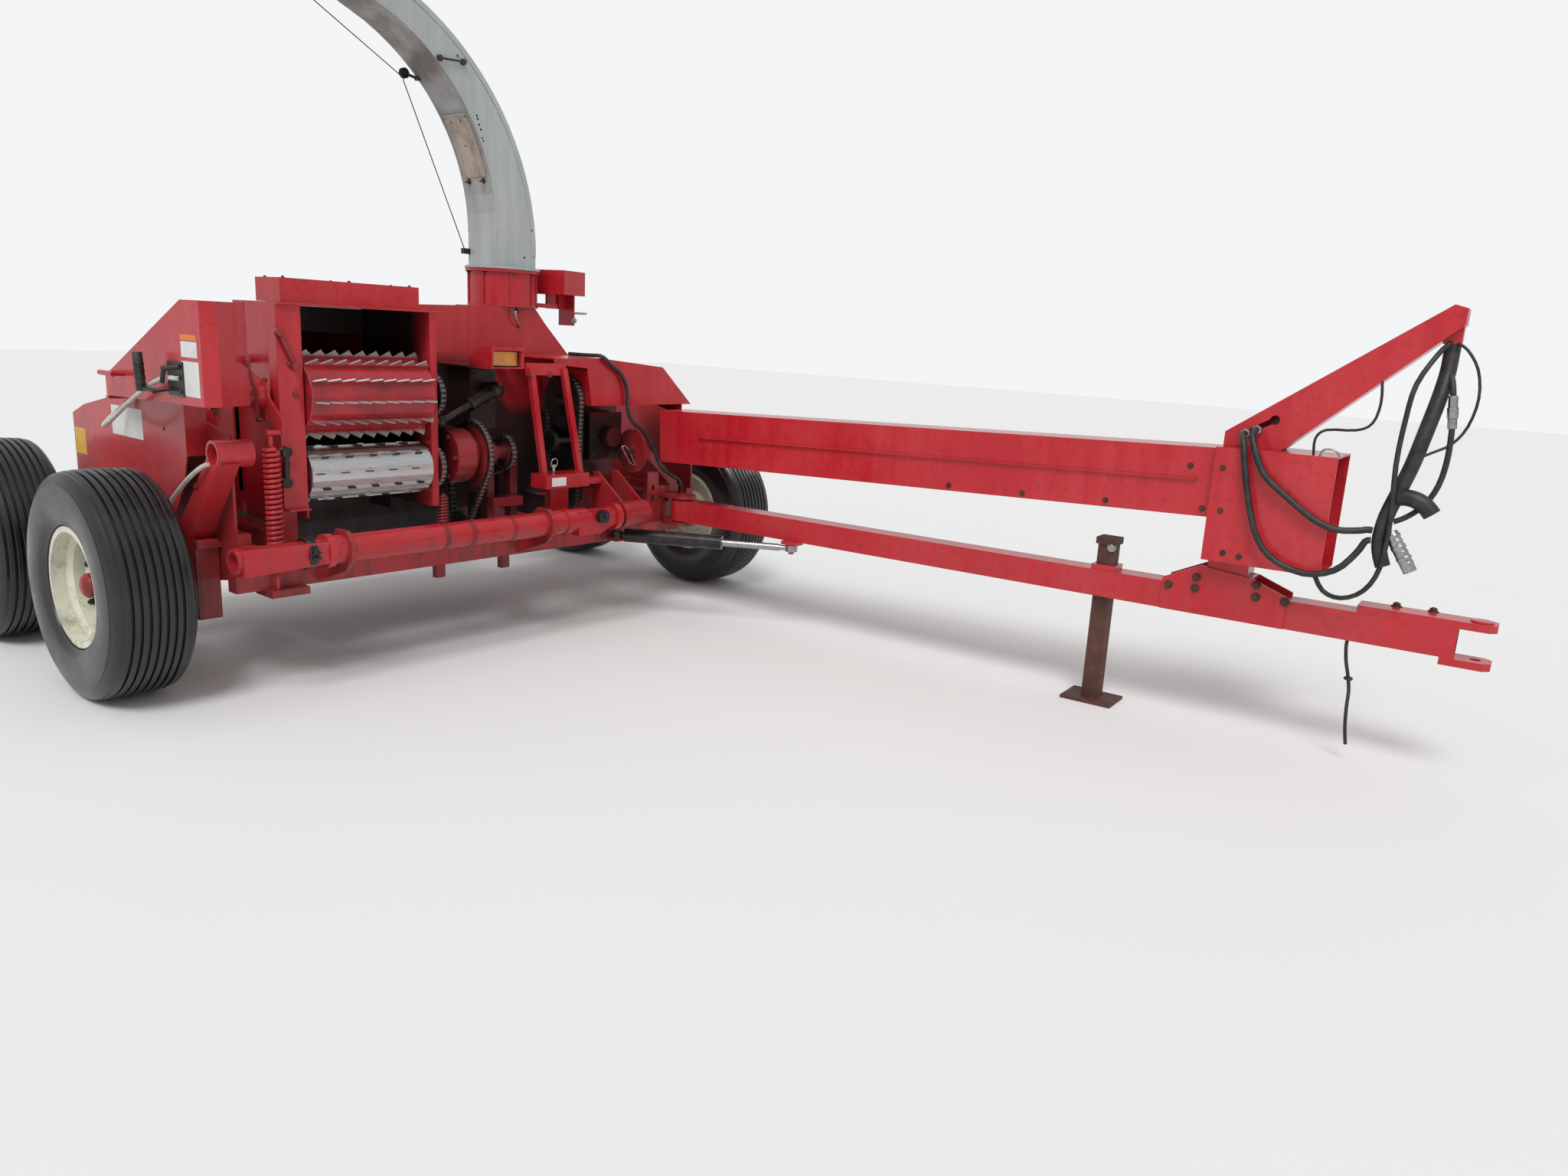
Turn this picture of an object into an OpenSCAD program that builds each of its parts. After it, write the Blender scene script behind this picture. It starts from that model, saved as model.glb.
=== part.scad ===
// Pull-type forage harvester, parked: feed rolls open at the front, spout turned to the right.
// Millimetres. x runs forward, y to the machine's left, z up from the ground.
// Inside this file x = 0 is the tandem pivot; place() shifts all nodes to the middle of the length.

/* [Wheels] */
// Outer diameter of a tyre
tyre_od = 785; // [740:1:820]
// Width of a tyre
tyre_w = 279; // [240:1:290]
// Diameter of the rim at the bead
rim_d = 381; // [360:1:400]
// Distance between the left and right wheel middles
track = 2950; // [2900:10:3100]
// Distance between the front and rear axle of the tandem
tandem_base = 1040; // [980:5:1100]

/* [Feed housing] */
// Front plane of the feed opening, ahead of the tandem pivot
open_x = 780; // [760:1:800]
// Right edge of the feed opening
open_y = -895; // [-905:1:-885]
// Width of the feed opening
open_w = 515; // [505:1:525]
// Height of the housing's roof above ground
roof_z = 1352; // [1340:1:1365]
// Diameter of the upper feed roll's drum
upper_roll_d = 256; // [240:1:262]
// Height of the saw teeth above the drum
tooth_h = 38; // [30:1:42]
// Toothed bars around the upper feed roll
bar_count = 12; // [10:1:14]
// Saw teeth along a bar
tooth_count = 9; // [7:1:11]
// Diameter of the smooth lower feed roll
lower_roll_d = 190; // [180:1:200]
// Height of the upper feed roll's axis
upper_roll_z = 1035; // [1030:1:1045]
// Height of the lower feed roll's axis
lower_roll_z = 752; // [740:1:758]

/* [Spout] */
// Spout turntable axis, ahead of the tandem pivot
neck_x = 290; // [280:1:300]
// Spout turntable axis, left of the middle
neck_y = 335; // [325:1:345]
// Diameter of the round neck
neck_d = 300; // [294:1:306]
// Height of the turntable's face
neck_z = 1560; // [1540:1:1580]
// Width of the rectangular spout
spout_w = 205; // [195:1:210]
// Outer radius of the spout's bend
bend_r = 1050; // [1020:5:1080]

/* [Tongue] */
// Swing pivot of the drawbar, ahead of the tandem pivot
pivot_x = 850; // [840:1:860]
// Swing pivot of the drawbar, left of the middle
pivot_y = 985; // [975:1:995]
// Drawbar turned to the left
swing_deg = 4; // [0:0.5:6]
// Swing pivot to hitch pin
hitch_len = 3370; // [3300:10:3450]
// Height of the drawbar's middle
hitch_z = 475; // [460:1:490]
// Side of the square drawbar tube
bar_w = 102; // [95:1:110]
// Diameter of the hitch pin hole
hitch_pin_d = 33; // [28:1:36]

/* [Shields] */
// Outer face of the right upper shield, from the middle
shield_y = 1305; // [1295:1:1310]
// Outer face of the lower side panels, from the middle
panel_y = 1222; // [1210:1:1226]
// Sheet thickness of shields and panels
sheet = 4; // [3:0.5:5]

/* [Hidden] */
$fn = 48;

red = [0.72, 0.05, 0.08];
dark_red = [0.45, 0.05, 0.06];
grey_paint = [0.62, 0.64, 0.65];
greasy = [0.08, 0.08, 0.08];
cream = [0.88, 0.86, 0.78];
steel = [0.72, 0.73, 0.74];
rubber = [0.05, 0.05, 0.055];

gap = 0.3;
fit = 0.05;
axle_z = tyre_od / 2;
wheel_y = track / 2;
hub_y = wheel_y - 75;
beam_in = wheel_y - tyre_w / 2 - 96;
beam_out = wheel_y - tyre_w / 2 - 36;
pivot_r = 38;
spindle_r = 30;

roll_y0 = open_y + 8;
roll_len = open_w - 16;
open_y1 = open_y + open_w;
upper_roll_x = open_x - 85;
lower_roll_x = open_x - 72;
shaft_r = 22;
side_t = 8;
arm_y = open_y - 117;
frame_half = panel_y - 72;
outer_y = panel_y + 12;
hinge_x = 154;
hinge_y = -shield_y + 14;
tube_x = open_x + 190;
tube_z = 515;
stand_s = 2130;

spout_in = spout_w / 2;
tip_past = 46;
clevis_w = 100;
clevis_clip = 22;
cyl_z = 395;
cyl_p = [open_x + 60, 560, cyl_z];
cyl_q = [pivot_x + 700 * cos(swing_deg) + 62 * sin(swing_deg), pivot_y + 700 * sin(swing_deg) - 62 * cos(swing_deg), cyl_z];
cyl_u = (cyl_q - cyl_p) / norm(cyl_q - cyl_p);
rear_x = -tandem_base / 2 - tyre_od / 2;
front_x = pivot_x + (hitch_len + tip_past) * cos(swing_deg) + (clevis_w / 2 - clevis_clip) * sin(swing_deg);
mid_x = (front_x + rear_x) / 2;

module place() translate([-mid_x, 0, 0]) children();
module tongue() translate([pivot_x, pivot_y, 0]) rotate([0, 0, swing_deg]) children();

// A block between two corners.
module blk(x0, x1, y0, y1, z0, z1) translate([x0, y0, z0]) cube([x1 - x0, y1 - y0, z1 - z0]);
// A round bar or tube along y, x or z, from a to b.
module rod_y(x, z, r, a, b) translate([x, a, z]) rotate([-90, 0, 0]) cylinder(r = r, h = b - a);
module rod_x(y, z, r, a, b) translate([a, y, z]) rotate([0, 90, 0]) cylinder(r = r, h = b - a);
module rod_z(x, y, r, a, b) translate([x, y, a]) cylinder(r = r, h = b - a);
// A sheet cut in the x-z plane, from y = a to y = b.
module sheet_xz(points, a, b) translate([0, b, 0]) rotate([90, 0, 0]) linear_extrude(b - a) polygon(points);
// A sheet cut in the y-z plane, from x = a to x = b.
module sheet_yz(points, a, b) translate([a, 0, 0]) rotate([90, 0, 90]) linear_extrude(b - a) polygon(points);
// A sheet cut in the x-y plane, from z = a to z = b.
module sheet_xy(points, a, b) translate([0, 0, a]) linear_extrude(b - a) polygon(points);
// A round bar between two points in space.
module strut(p, q, r) {
  d = q - p;
  translate(p) rotate([0, acos(d[2] / norm(d)), atan2(d[1], d[0])]) cylinder(r = r, h = norm(d));
}

// Points of a toothed sprocket, and the closed path of a chain over two sprockets.
function sprocket(n, r, depth) = [for (i = [0 : n * 4 - 1])
  let (a = i * 90 / n, q = (i % 4 < 2) ? r + depth : r) [q * cos(a), q * sin(a)]];
function wrap(r1, r2, d) = acos((r1 - r2) / d);
function chain_len(r1, r2, d) = let (w = wrap(r1, r2, d))
  r1 * (360 - 2 * w) * PI / 180 + r2 * 2 * w * PI / 180 + 2 * d * sin(w);
function chain_at(u, r1, r2, d) =
  let (w = wrap(r1, r2, d), t = d * sin(w), s = u * chain_len(r1, r2, d),
       s1 = r1 * (360 - 2 * w) * PI / 180, s2 = s1 + t, s3 = s2 + r2 * 2 * w * PI / 180)
  s < s1 ? r1 * [cos(w + s / r1 * 180 / PI), sin(w + s / r1 * 180 / PI)]
  : s < s2 ? r1 * [cos(-w), sin(-w)] + (s - s1) * [sin(w), cos(w)]
  : s < s3 ? [d, 0] + r2 * [cos(-w + (s - s2) / r2 * 180 / PI), sin(-w + (s - s2) / r2 * 180 / PI)]
  : [d, 0] + r2 * [cos(w), sin(w)] + (s - s3) * [-sin(w), cos(w)];

// A chain with its two sprockets: big one at c1, small one at c2, in the x-z plane at y.
module chain_loop(c1, r1, n1, c2, r2, n2, y, width = 16) {
  d = norm(c2 - c1);
  a = atan2(c2[1] - c1[1], c2[0] - c1[0]);
  count = 2 * round(chain_len(r1, r2, d) / 38.1);
  translate([c1[0], y + width / 2, c1[1]]) rotate([90, -a, 0]) {
    linear_extrude(width) {
      difference() {
        polygon([for (i = [0 : count - 1]) chain_at(i / count, r1 + 4, r2 + 4, d)]);
        polygon([for (i = [0 : count - 1]) chain_at(i / count, r1 - 4, r2 - 4, d)]);
      }
      for (i = [0 : count - 1]) translate(chain_at((i + 0.5) / count, r1, r2, d)) circle(r = 7, $fn = 6);
    }
    translate([0, 0, width / 2 - 4]) linear_extrude(8) {
      polygon(sprocket(n1, r1 - 5, 7));
      translate([d, 0]) polygon(sprocket(n2, r2 - 5, 7));
    }
  }
}

// Wheels

module rim_profile() {
  half = tyre_w / 2 - 24;
  br = rim_d / 2;
  rotate_extrude($fn = 64) polygon([
    [br + 16, -half], [br + 16, -half + 4], [br + 1, -half + 6], [br, -half + 34], [br - 22, -half + 48],
    [br - 22, half - 62], [br, half - 48], [br + 1, half - 6], [br + 16, half - 4], [br + 16, half],
    [br - 4, half], [br - 5, half - 45], [br - 27, half - 60], [br - 27, -half + 46], [br - 5, -half + 32],
    [br - 4, -half]]);
}
// A wheel with its hub, outside towards +z, the disc set deep towards the tandem beam.
module wheel_body() {
  disc = hub_y - wheel_y;
  difference() {
    union() {
      rim_profile();
      translate([0, 0, disc]) rotate_extrude($fn = 64) polygon([
        [40, -8], [92, -8], [118, 8], [rim_d / 2 - 24, 14], [rim_d / 2 - 24, 20], [116, 15], [90, 0], [40, 0]]);
      translate([0, 0, disc - 50]) cylinder(r = 62, h = 60);
      translate([0, 0, disc]) cylinder(r = 48, h = 62);
      for (i = [0 : 5]) rotate([0, 0, i * 60]) translate([76, 0, disc - 4]) cylinder(r = 10, h = 24, $fn = 6);
    }
    translate([0, 0, disc - 51]) cylinder(r = spindle_r + fit, h = 95);
  }
}
module tyre_body() {
  r = tyre_od / 2;
  w = tyre_w / 2;
  b = rim_d / 2 + 1.5;
  rotate_extrude($fn = 72) polygon([
    [b, -w + 31], [b + 16.5, -w + 29], [b + 20, -w + 20], [b + 50, -w + 6], [r - 88, -w], [r - 40, -w + 4],
    [r - 14, -w + 22], [r - 3, -w + 44], [r, -30], [r, 30], [r - 3, w - 44], [r - 14, w - 22], [r - 40, w - 4],
    [r - 88, w], [b + 50, w - 6], [b + 20, w - 20], [b + 16.5, w - 29], [b, w - 31], [b, w - 58],
    [b + 40, w - 24], [r - 88, w - 16], [r - 36, w - 26], [r - 22, w - 60], [r - 22, -w + 60],
    [r - 36, -w + 26], [r - 88, -w + 16], [b + 40, -w + 24], [b, -w + 58]]);
}
module at_wheel(side, end) translate([end * tandem_base / 2, side * wheel_y, axle_z]) rotate([-side * 90, 0, 0]) children();
module wheel_rim(side, end) color(cream) at_wheel(side, end) wheel_body();
module tyre(side, end) color(rubber) at_wheel(side, end) tyre_body();

module axle_beam() color(red) {
  difference() {
    blk(-64, 64, -beam_in + 12, beam_in - 12, axle_z - 64, axle_z + 64);
    blk(-54, 54, -beam_in + 22, beam_in - 22, axle_z - 54, axle_z + 54);
  }
  for (s = [-1, 1]) {
    rod_y(0, axle_z, pivot_r, s > 0 ? beam_in - 12 : -beam_out - 3, s > 0 ? beam_out + 3 : -beam_in + 12);
    rod_y(0, axle_z, pivot_r + 16, s > 0 ? beam_out + 2 : -beam_out - 12, s > 0 ? beam_out + 12 : -beam_out - 2);
  }
}

module tandem_beam(side) color(red) {
  h = tandem_base / 2;
  mirror([0, side < 0 ? 1 : 0, 0]) {
    difference() {
      union() {
        sheet_xz([[-h - 60, axle_z - 44], [-120, axle_z - 70], [120, axle_z - 70], [h + 60, axle_z - 44],
          [h + 60, axle_z + 44], [120, axle_z + 70], [-120, axle_z + 70], [-h - 60, axle_z + 44]], beam_in, beam_out);
        rod_y(0, axle_z, 78, beam_in - 8, beam_out);
        for (e = [-1, 1]) rod_y(e * h, axle_z, 52, beam_in, beam_out + 14);
      }
      rod_y(0, axle_z, pivot_r + fit, beam_in - 9, beam_out + 1);
    }
    for (e = [-1, 1]) rod_y(e * h, axle_z, spindle_r, beam_out + 10, hub_y + 40);
  }
}

// Frame

module chassis_frame() color(red) {
  // lower rails and cross members
  for (r = [[-1010, open_x - 40], [300, 540], [900, open_x - 40]]) difference() {
    blk(-360, r[1], r[0], r[0] + 80, 470, 550);
    blk(-350, r[1] - 10, r[0] + 6, r[0] + 74, 476, 544);
  }
  blk(open_x - 40, open_x + 20, -frame_half - 30, pivot_y - 90, 360, 420);
  for (y = [-frame_half, -1010, 300, 900 - 60]) blk(open_x - 40, open_x, y, y + 60, 420, 520);
  blk(-420, -360, -frame_half - 30, frame_half + 30, 470, 550);
  blk(-60, 60, -frame_half - 30, frame_half + 30, axle_z + 64.2, 470);
  // cross members under the cutter and the blower
  for (x = [-250, 140]) blk(x, x + 60, -932, 302, 470, 550);
  for (y = [-frame_half - 30, -1010, 300, 900, frame_half - 50]) blk(-60, 60, y, y + 80, 470, 490);
  // outer side plates that carry the panels
  for (s = [-1, 1]) mirror([0, s < 0 ? 1 : 0, 0]) {
    sheet_xz([[-400, 560], [open_x - 32, 560], [open_x - 32, 900], [500, 950], [380, 1000], [-200, 1000], [-400, 860]],
      frame_half - 10, frame_half);
    blk(-400, open_x - 20, frame_half - 50, frame_half, 470, 560);
    blk(-420, -360, 980, frame_half, 470, 550);
  }
  // right front leg and the scraper plate beside the wheel
  sheet_xz([[540, 360], [760, 400], [760, 560], [540, 560]], -frame_half, -frame_half + 10);
  blk(545, 625, -outer_y, -outer_y + 80, 240, 520);
  blk(545, 640, -outer_y, -frame_half + 20, 500, 520);
  // low apron across the rear, and the beam and eye for a towed wagon
  blk(-398, -392, -frame_half + 5, frame_half - 5, 548, 700);
  blk(-394, -370, -frame_half + 5, frame_half - 5, 694, 699);
  difference() {
    union() {
      blk(-860, -360, 300, 380, 474, 546);
      for (z = [462, 545]) blk(-900, -700, 296, 384, z, z + 13);
      for (e = [-1, 1]) sheet_xy([[-700, 340 + e * 38], [-415, 340 + e * 38], [-415, 340 + e * 190]], 500, 510);
    }
    blk(-861, -371, 307, 373, 481, 539);
    rod_z(-872, 340, 14, 460, 560);
  }
  // front column beside the opening and its feet
  blk(open_x - 60, open_x, -1000, -940, 420, 633.7);
  blk(open_x - 60, open_x + 60, -1075, -935, 335, 362);
  for (y = [-360, -40]) blk(open_x - 40, open_x - 10, y, y + 40, 300, 360);
  for (p = [[-60, 738.7], [60, 766.7]]) blk(660, 700, p[0], p[0] + 36, 400, p[1]);
  blk(560, open_x - 40, -60, 96, 560, 600);
  blk(660, open_x - 40, -60, 96, 380, 420);
  blk(560, 640, -59.7, -47, 440, 600);
  blk(500, 600, 70.3, 82, 585, 720);
  // upright plate behind the drive
  difference() {
    sheet_yz([[open_y1 + 90, 550], [900, 550], [900, 950], [640, 1140], [open_y1 + 90, 1140]], 440, 450);
    rod_x(660, 830, 60, 430, 460);
    rod_x(blower_y, blower_z, 28 + fit, 430, 460);
  }
  blk(300, 450, 900, 908, 550, 900);
  // flat brace from the front beam up to the hand disc's bracket
  sheet_yz([[781.3, 770], [781.3, 800], [810, 800], [1040, 600], [1040, 580], [1000, 580]], open_x - 40, open_x - 30);
  // swing pivot ears and pin, with the upright slotted plate beside them
  for (z = [hitch_z - bar_w / 2 - 22, hitch_z + bar_w / 2 + 6]) {
    rod_z(pivot_x, pivot_y, 62, z, z + 16);
    blk(pivot_x - 110, pivot_x, pivot_y - 62, pivot_y + 62, z, z + 16);
  }
  blk(open_x - 40, pivot_x - 98, pivot_y - 90, pivot_y + 62, 360, hitch_z + bar_w / 2 + 60);
  rod_z(pivot_x, pivot_y, 20, hitch_z - bar_w / 2 - 22, hitch_z + bar_w / 2 + 30);
  difference() {
    blk(open_x - 38, open_x - 8, pivot_y - 170, pivot_y - 95, 420, 660);
    for (z = [470, 520, 570]) blk(open_x - 50, open_x + 10, pivot_y - 140, pivot_y - 122, z, z + 26);
  }
  // bearings and left trunnion of the header lift tube
  for (y = [-880, 20]) difference() {
    sheet_xz([[open_x, 360], [tube_x + 20, tube_z - 78], [tube_x + 66, tube_z - 30], [tube_x + 66, tube_z + 30],
      [tube_x + 30, tube_z + 66], [tube_x - 40, tube_z + 66], [open_x, 420]], y, y + 16);
    rod_y(tube_x, tube_z, 51 + fit, y - 1, y + 17);
  }
  rod_y(tube_x, tube_z, 58, 445, 600);
  rod_y(tube_x, tube_z, 33 - fit, 400, 446);
  for (y = [470, 585]) sheet_xz([[open_x + 20, 362], [open_x + 44, 440], [tube_x, tube_z - 50], [tube_x + 30, tube_z], [tube_x, tube_z + 50],
    [open_x + 20, 690], [open_x - 10, 690], [open_x - 10, 362]], y, y + 10);
  // ear and pin of the swing cylinder
  blk(open_x + 10, cyl_p[0] + 24, cyl_p[1] - 24, cyl_p[1] + 24, cyl_z - 30, cyl_z - 14.5);
  blk(open_x + 10, open_x + 20, cyl_p[1] - 24, cyl_p[1] + 24, cyl_z - 30, 400);
  rod_z(cyl_p[0], cyl_p[1], 12.5, cyl_z - 30, cyl_z + 26);
  // hinge pin of the right upper shield
  blk(hinge_x - 12, hinge_x + 12, hinge_y - 12, -frame_half + 10, 988, 998);
  rod_z(hinge_x, hinge_y, 5.4, 990, 1072);
}

// Feed housing

module feed_housing() color(red) {
  for (y = [open_y - side_t, open_y1]) difference() {
    blk(300, open_x, y, y + side_t, 600, roof_z);
    rod_y(upper_roll_x, upper_roll_z, shaft_r + 14, y - 1, y + side_t + 1);
    rod_y(lower_roll_x, lower_roll_z, shaft_r + fit, y - 1, y + side_t + 1);
  }
  blk(300, open_x, open_y - side_t, open_y1 + side_t, roof_z, roof_z + 8);
  blk(300, 560, open_y, open_y1, 640, 648);
  // right post: front face, outer flange and foot
  blk(open_x - 8, open_x, open_y - 90, open_y - side_t, 640, roof_z + 8);
  blk(open_x - 60, open_x - 8, open_y - 90, open_y - 84, 640, roof_z + 8);
  blk(open_x - 60, open_x + 34, open_y - 90, open_y - side_t, 634, 640);
  // left post and the top edge
  blk(open_x - 8, open_x, open_y1 + side_t, open_y1 + 30, 600, roof_z + 8);
  blk(open_x, open_x + 14, open_y - 90, open_y1 + 30, roof_z, roof_z + 8);
  // legs down to the frame
  blk(open_x - 60, open_x - 52, open_y - 90, open_y - side_t, 641, 700);
  for (y = [open_y - side_t, open_y1]) blk(320, 480, y, y + side_t, 550.3, 600);
}

module detector_hood() color(red) difference() {
  blk(open_x - 190, open_x - 20, open_y - 60, open_y1 - 30, roof_z + 8.3, roof_z + 90);
  blk(open_x - 186, open_x - 24, open_y - 56, open_y1 - 34, roof_z + 7, roof_z + 86);
}

// One saw-toothed bar of the upper roll, standing on the drum.
module saw_bar() {
  long = roll_len - 4;
  start = roll_y0 + 2;
  pitch = long / tooth_count;
  base = upper_roll_d / 2 - 5;
  tip = upper_roll_d / 2 + tooth_h;
  low = tip - 22;
  sheet_yz(concat([[start, base]],
    [for (i = [0 : tooth_count - 1]) each [[start + i * pitch, low], [start + (i + 0.75) * pitch, tip]]],
    [[start + long, low], [start + long, base]]), -3, 3);
}
module upper_feed_roll() color(red) {
  translate([upper_roll_x, 0, upper_roll_z]) {
    difference() {
      rod_y(0, 0, upper_roll_d / 2, roll_y0, roll_y0 + roll_len);
      rod_y(0, 0, upper_roll_d / 2 - 8, roll_y0 + 8, roll_y0 + roll_len - 8);
    }
    rod_y(0, 0, shaft_r, arm_y - 42, open_y1 + 44);
    for (i = [0 : bar_count - 1]) rotate([0, i * 360 / bar_count + 6, 0]) saw_bar();
  }
}
module lower_feed_roll() color(steel) {
  ribs = 10;
  translate([lower_roll_x, 0, lower_roll_z]) {
    difference() {
      rod_y(0, 0, lower_roll_d / 2, roll_y0, roll_y0 + roll_len);
      rod_y(0, 0, lower_roll_d / 2 - 8, roll_y0 + 8, roll_y0 + roll_len - 8);
    }
    rod_y(0, 0, shaft_r, open_y - 40, open_y1 + 36);
    for (i = [0 : ribs - 1]) rotate([0, i * 360 / ribs, 0]) {
      blk(-10, 10, roll_y0 + 3, roll_y0 + roll_len - 3, lower_roll_d / 2 - 5, lower_roll_d / 2 + 5);
      for (k = [0 : 2]) blk(6, 12, roll_y0 + (k + 0.35 + (i % 2) * 0.3) * roll_len / 3,
        roll_y0 + (k + 0.35 + (i % 2) * 0.3) * roll_len / 3 + 24, lower_roll_d / 2 - 5, lower_roll_d / 2 + 9);
    }
  }
}

// The arms on both sides that carry the upper roll's bearings.
module roll_arm(side) color(red) {
  y = side < 0 ? arm_y : open_y1 + 16;
  difference() {
    union() {
      sheet_xz([[380, 1140], [420, 1200], [640, 1110], [upper_roll_x + 55, 1080], [upper_roll_x + 60, 980],
        [upper_roll_x - 40, 960], [600, 1010], [400, 1110]], y, y + 10);
      rod_y(upper_roll_x, upper_roll_z, 48, side < 0 ? y - 30 : y, side < 0 ? y + 10 : y + 18);
      rod_y(410, 1150, 34, y - 4, y + 14);
    }
    rod_y(upper_roll_x, upper_roll_z, shaft_r + fit, y - 40, y + 40);
  }
  rod_y(410, 1150, 16, side < 0 ? y : open_y1 + side_t + gap, side < 0 ? open_y - side_t - gap : y + 14);
  if (side < 0) {
    sheet_xz([[upper_roll_x + 20, 1000], [upper_roll_x + 60, 1030], [spring_x + 20, 960], [spring_x + 20, 915],
      [spring_x - 20, 915]], y, y + 10);
    rod_y(spring_x, 918, 10, spring_y - 14, y + 2);
  }
}

// A close-wound spring as a grooved tube, with a hook rod below and above.
module coil_spring(x, y, z0, z1, r, wire, below, above) {
  n = round((z1 - z0) / wire);
  translate([x, y, z0]) {
    rotate_extrude($fn = 32) polygon(concat([[r - wire * 1.6, 0]],
      [for (i = [0 : n * 2 - 1]) [r - (i % 2 == 0 ? wire * 0.45 : 0), (i + 0.5) * (z1 - z0) / (2 * n)]],
      [[r - wire * 0.45, z1 - z0], [r - wire * 1.6, z1 - z0]]));
    for (z = [0, z1 - z0 - 8]) translate([0, 0, z]) cylinder(r = r - wire * 0.5, h = 8);
    translate([0, 0, -below]) cylinder(r = 7, h = below + 8);
    translate([0, 0, z1 - z0 - 8]) cylinder(r = 7, h = above + 8);
  }
}
spring_x = open_x + 45;
spring_y = -1045;
module roll_spring_right() color(red) coil_spring(spring_x, spring_y, 420, 870, 30, 18, 57.5, 38);
module roll_spring_left() color(dark_red) coil_spring(open_x - 25, open_y1 + 62, 478, 640, 24, 14, 57.5, 6);

// Header lift tube and the socket arm

module header_lift_tube() color(red) {
  difference() {
    union() {
      rod_y(tube_x, tube_z, 51, -930, 240);
      rod_y(tube_x, tube_z, 43, -1265, 430);
      // right tapered arm plates
      sheet_yz([[-1250, tube_z - 50], [-940, tube_z - 36], [-900, tube_z + 40], [-1250, tube_z + 44]],
        tube_x - 6, tube_x + 48);
      // left arm plate with its clamp
      sheet_yz([[180, tube_z - 62], [300, tube_z - 62], [420, tube_z - 14], [420, tube_z + 34], [180, tube_z + 40]],
        tube_x - 6, tube_x + 46);
      rod_y(tube_x, tube_z, 60, -952, -925);
      rod_y(tube_x, tube_z, 56, 120, 132);
      rod_y(tube_x, tube_z, 60, 395, 425);
    }
    rod_y(tube_x, tube_z, 33, -1266, -1100);
    rod_y(tube_x, tube_z, 38, -1100.5, 380);
    rod_y(tube_x, tube_z, 33, 379, 431);
  }
}

module lift_socket_arm() color(red) {
  sx = 800;
  sz = 850;
  difference() {
    union() {
      rod_y(sx, sz, 47, -outer_y, -outer_y + 124);
      sheet_xz([[sx - 46, sz - 20], [sx - 30, sz + 36], [sx + 10, sz + 46], [sx + 40, sz + 20], [sx + 40, sz - 30],
        [600, 530], [470, 530]], -outer_y, -outer_y + 12);
      sheet_xz([[sx + 40, sz - 30], [sx + 28, sz - 42], [592, 536], [600, 530]], -outer_y, -outer_y + 74);
      blk(470, 640, -outer_y, -outer_y + 74, 520 + gap, 531);
    }
    rod_y(sx, sz, 36, -outer_y - 1, -outer_y + 125);
  }
  blk(sx - 60, sx - 36, -outer_y + 54, -frame_half - gap, sz - 40, sz + 10);
}

// Right side sheet metal

module right_lower_panel() color(red) {
  difference() {
    union() {
      sheet_xz([[-300, 580], [440, 580], [500, 640], [560, 730], [590, 820], [590, 1010], [-60, 975], [-300, 930]],
        -panel_y - sheet, -panel_y);
      sheet_xz([[-420, 600], [-300, 580], [-300, 930], [-420, 890]], -panel_y - sheet, -panel_y);
      sheet_xz([[586, 820], [590, 820], [590, 1010], [586, 1010]], -panel_y, -frame_half - gap);
      blk(-60, 586, -panel_y, -frame_half - gap, 970, 974);
    }
    for (x = [80, 420]) rod_y(x, 900, 7, -panel_y - 6, -panel_y + 2);
  }
}

shield_x0 = 160;
shield_x1 = 930;
shield_low = 1000;
module right_upper_shield() color(red) {
  top = roof_z - 4;
  y = -shield_y;
  side_points = [[shield_x0, shield_low], [shield_x1, shield_low + 16], [shield_x1, top], [800, top], [shield_x0, 1072]];
  // side sheet, folded edges, bevel and front sheet
  sheet_xz(side_points, y, y + sheet);
  blk(798, shield_x1, y + sheet, y + 60, top - sheet, top);
  translate([shield_x0, 0, 1072]) rotate([0, -atan2(top - 1072, 800 - shield_x0), 0])
    blk(0, norm([top - 1072, 800 - shield_x0]), y, y + 60, -sheet, 0);
  translate([0, 0, shield_low + 16]) linear_extrude(top - shield_low - 16)
    polygon([[shield_x1 - sheet, y], [shield_x1, y], [shield_x1 + 12, y + 50], [shield_x1 - 60, y + 175],
      [shield_x1 - 64, y + 172], [shield_x1 + 7, y + 50]]);
  blk(shield_x0, shield_x0 + sheet, y, y + 60, shield_low, 1072);
  // pull handle
  for (x = [240, 320]) rod_y(x, 1085, 7, y - 40, y + 1);
  rod_x(y - 40, 1085, 9, 222, 338);
  // hinge sleeve
  difference() {
    rod_z(hinge_x, hinge_y, 12, 1000.3, 1068);
    rod_z(hinge_x, hinge_y, 6 + fit, 999, 1069);
  }
}

// Bent lever and hook on a dark plate over the shield's slot.
module shield_lever() color(greasy) {
  y = -shield_y;
  blk(690, 800, y - 6.3, y - gap, 1040, 1152);
  strut([712, y - 5.5, 1062], [690, y - 52, 1053], 7);
  translate([690, y - 52, 1053]) sphere(r = 8.5);
  strut([690, y - 52, 1053], [598, y - 55, 1058], 6.5);
  strut([600, y - 55, 1048], [588, y - 55, 1172], 14);
  strut([782, y - 6.2, 1136], [752, y - 42, 1129], 8);
  translate([752, y - 42, 1129]) sphere(r = 9.5);
  strut([752, y - 42, 1129], [736, y - 44, 1082], 7.5);
}

module left_side_panel() color(red) {
  sheet_xz([[-420, 600], [-300, 580], [440, 580], [590, 700], [590, 1000], [-60, 975], [-420, 890]],
    panel_y, panel_y + sheet);
  blk(-60, 586, frame_half + gap, panel_y, 970, 974);
  blk(-60, 586, frame_half + gap, panel_y, 584, 588);
}

// Cutting and blowing

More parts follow.
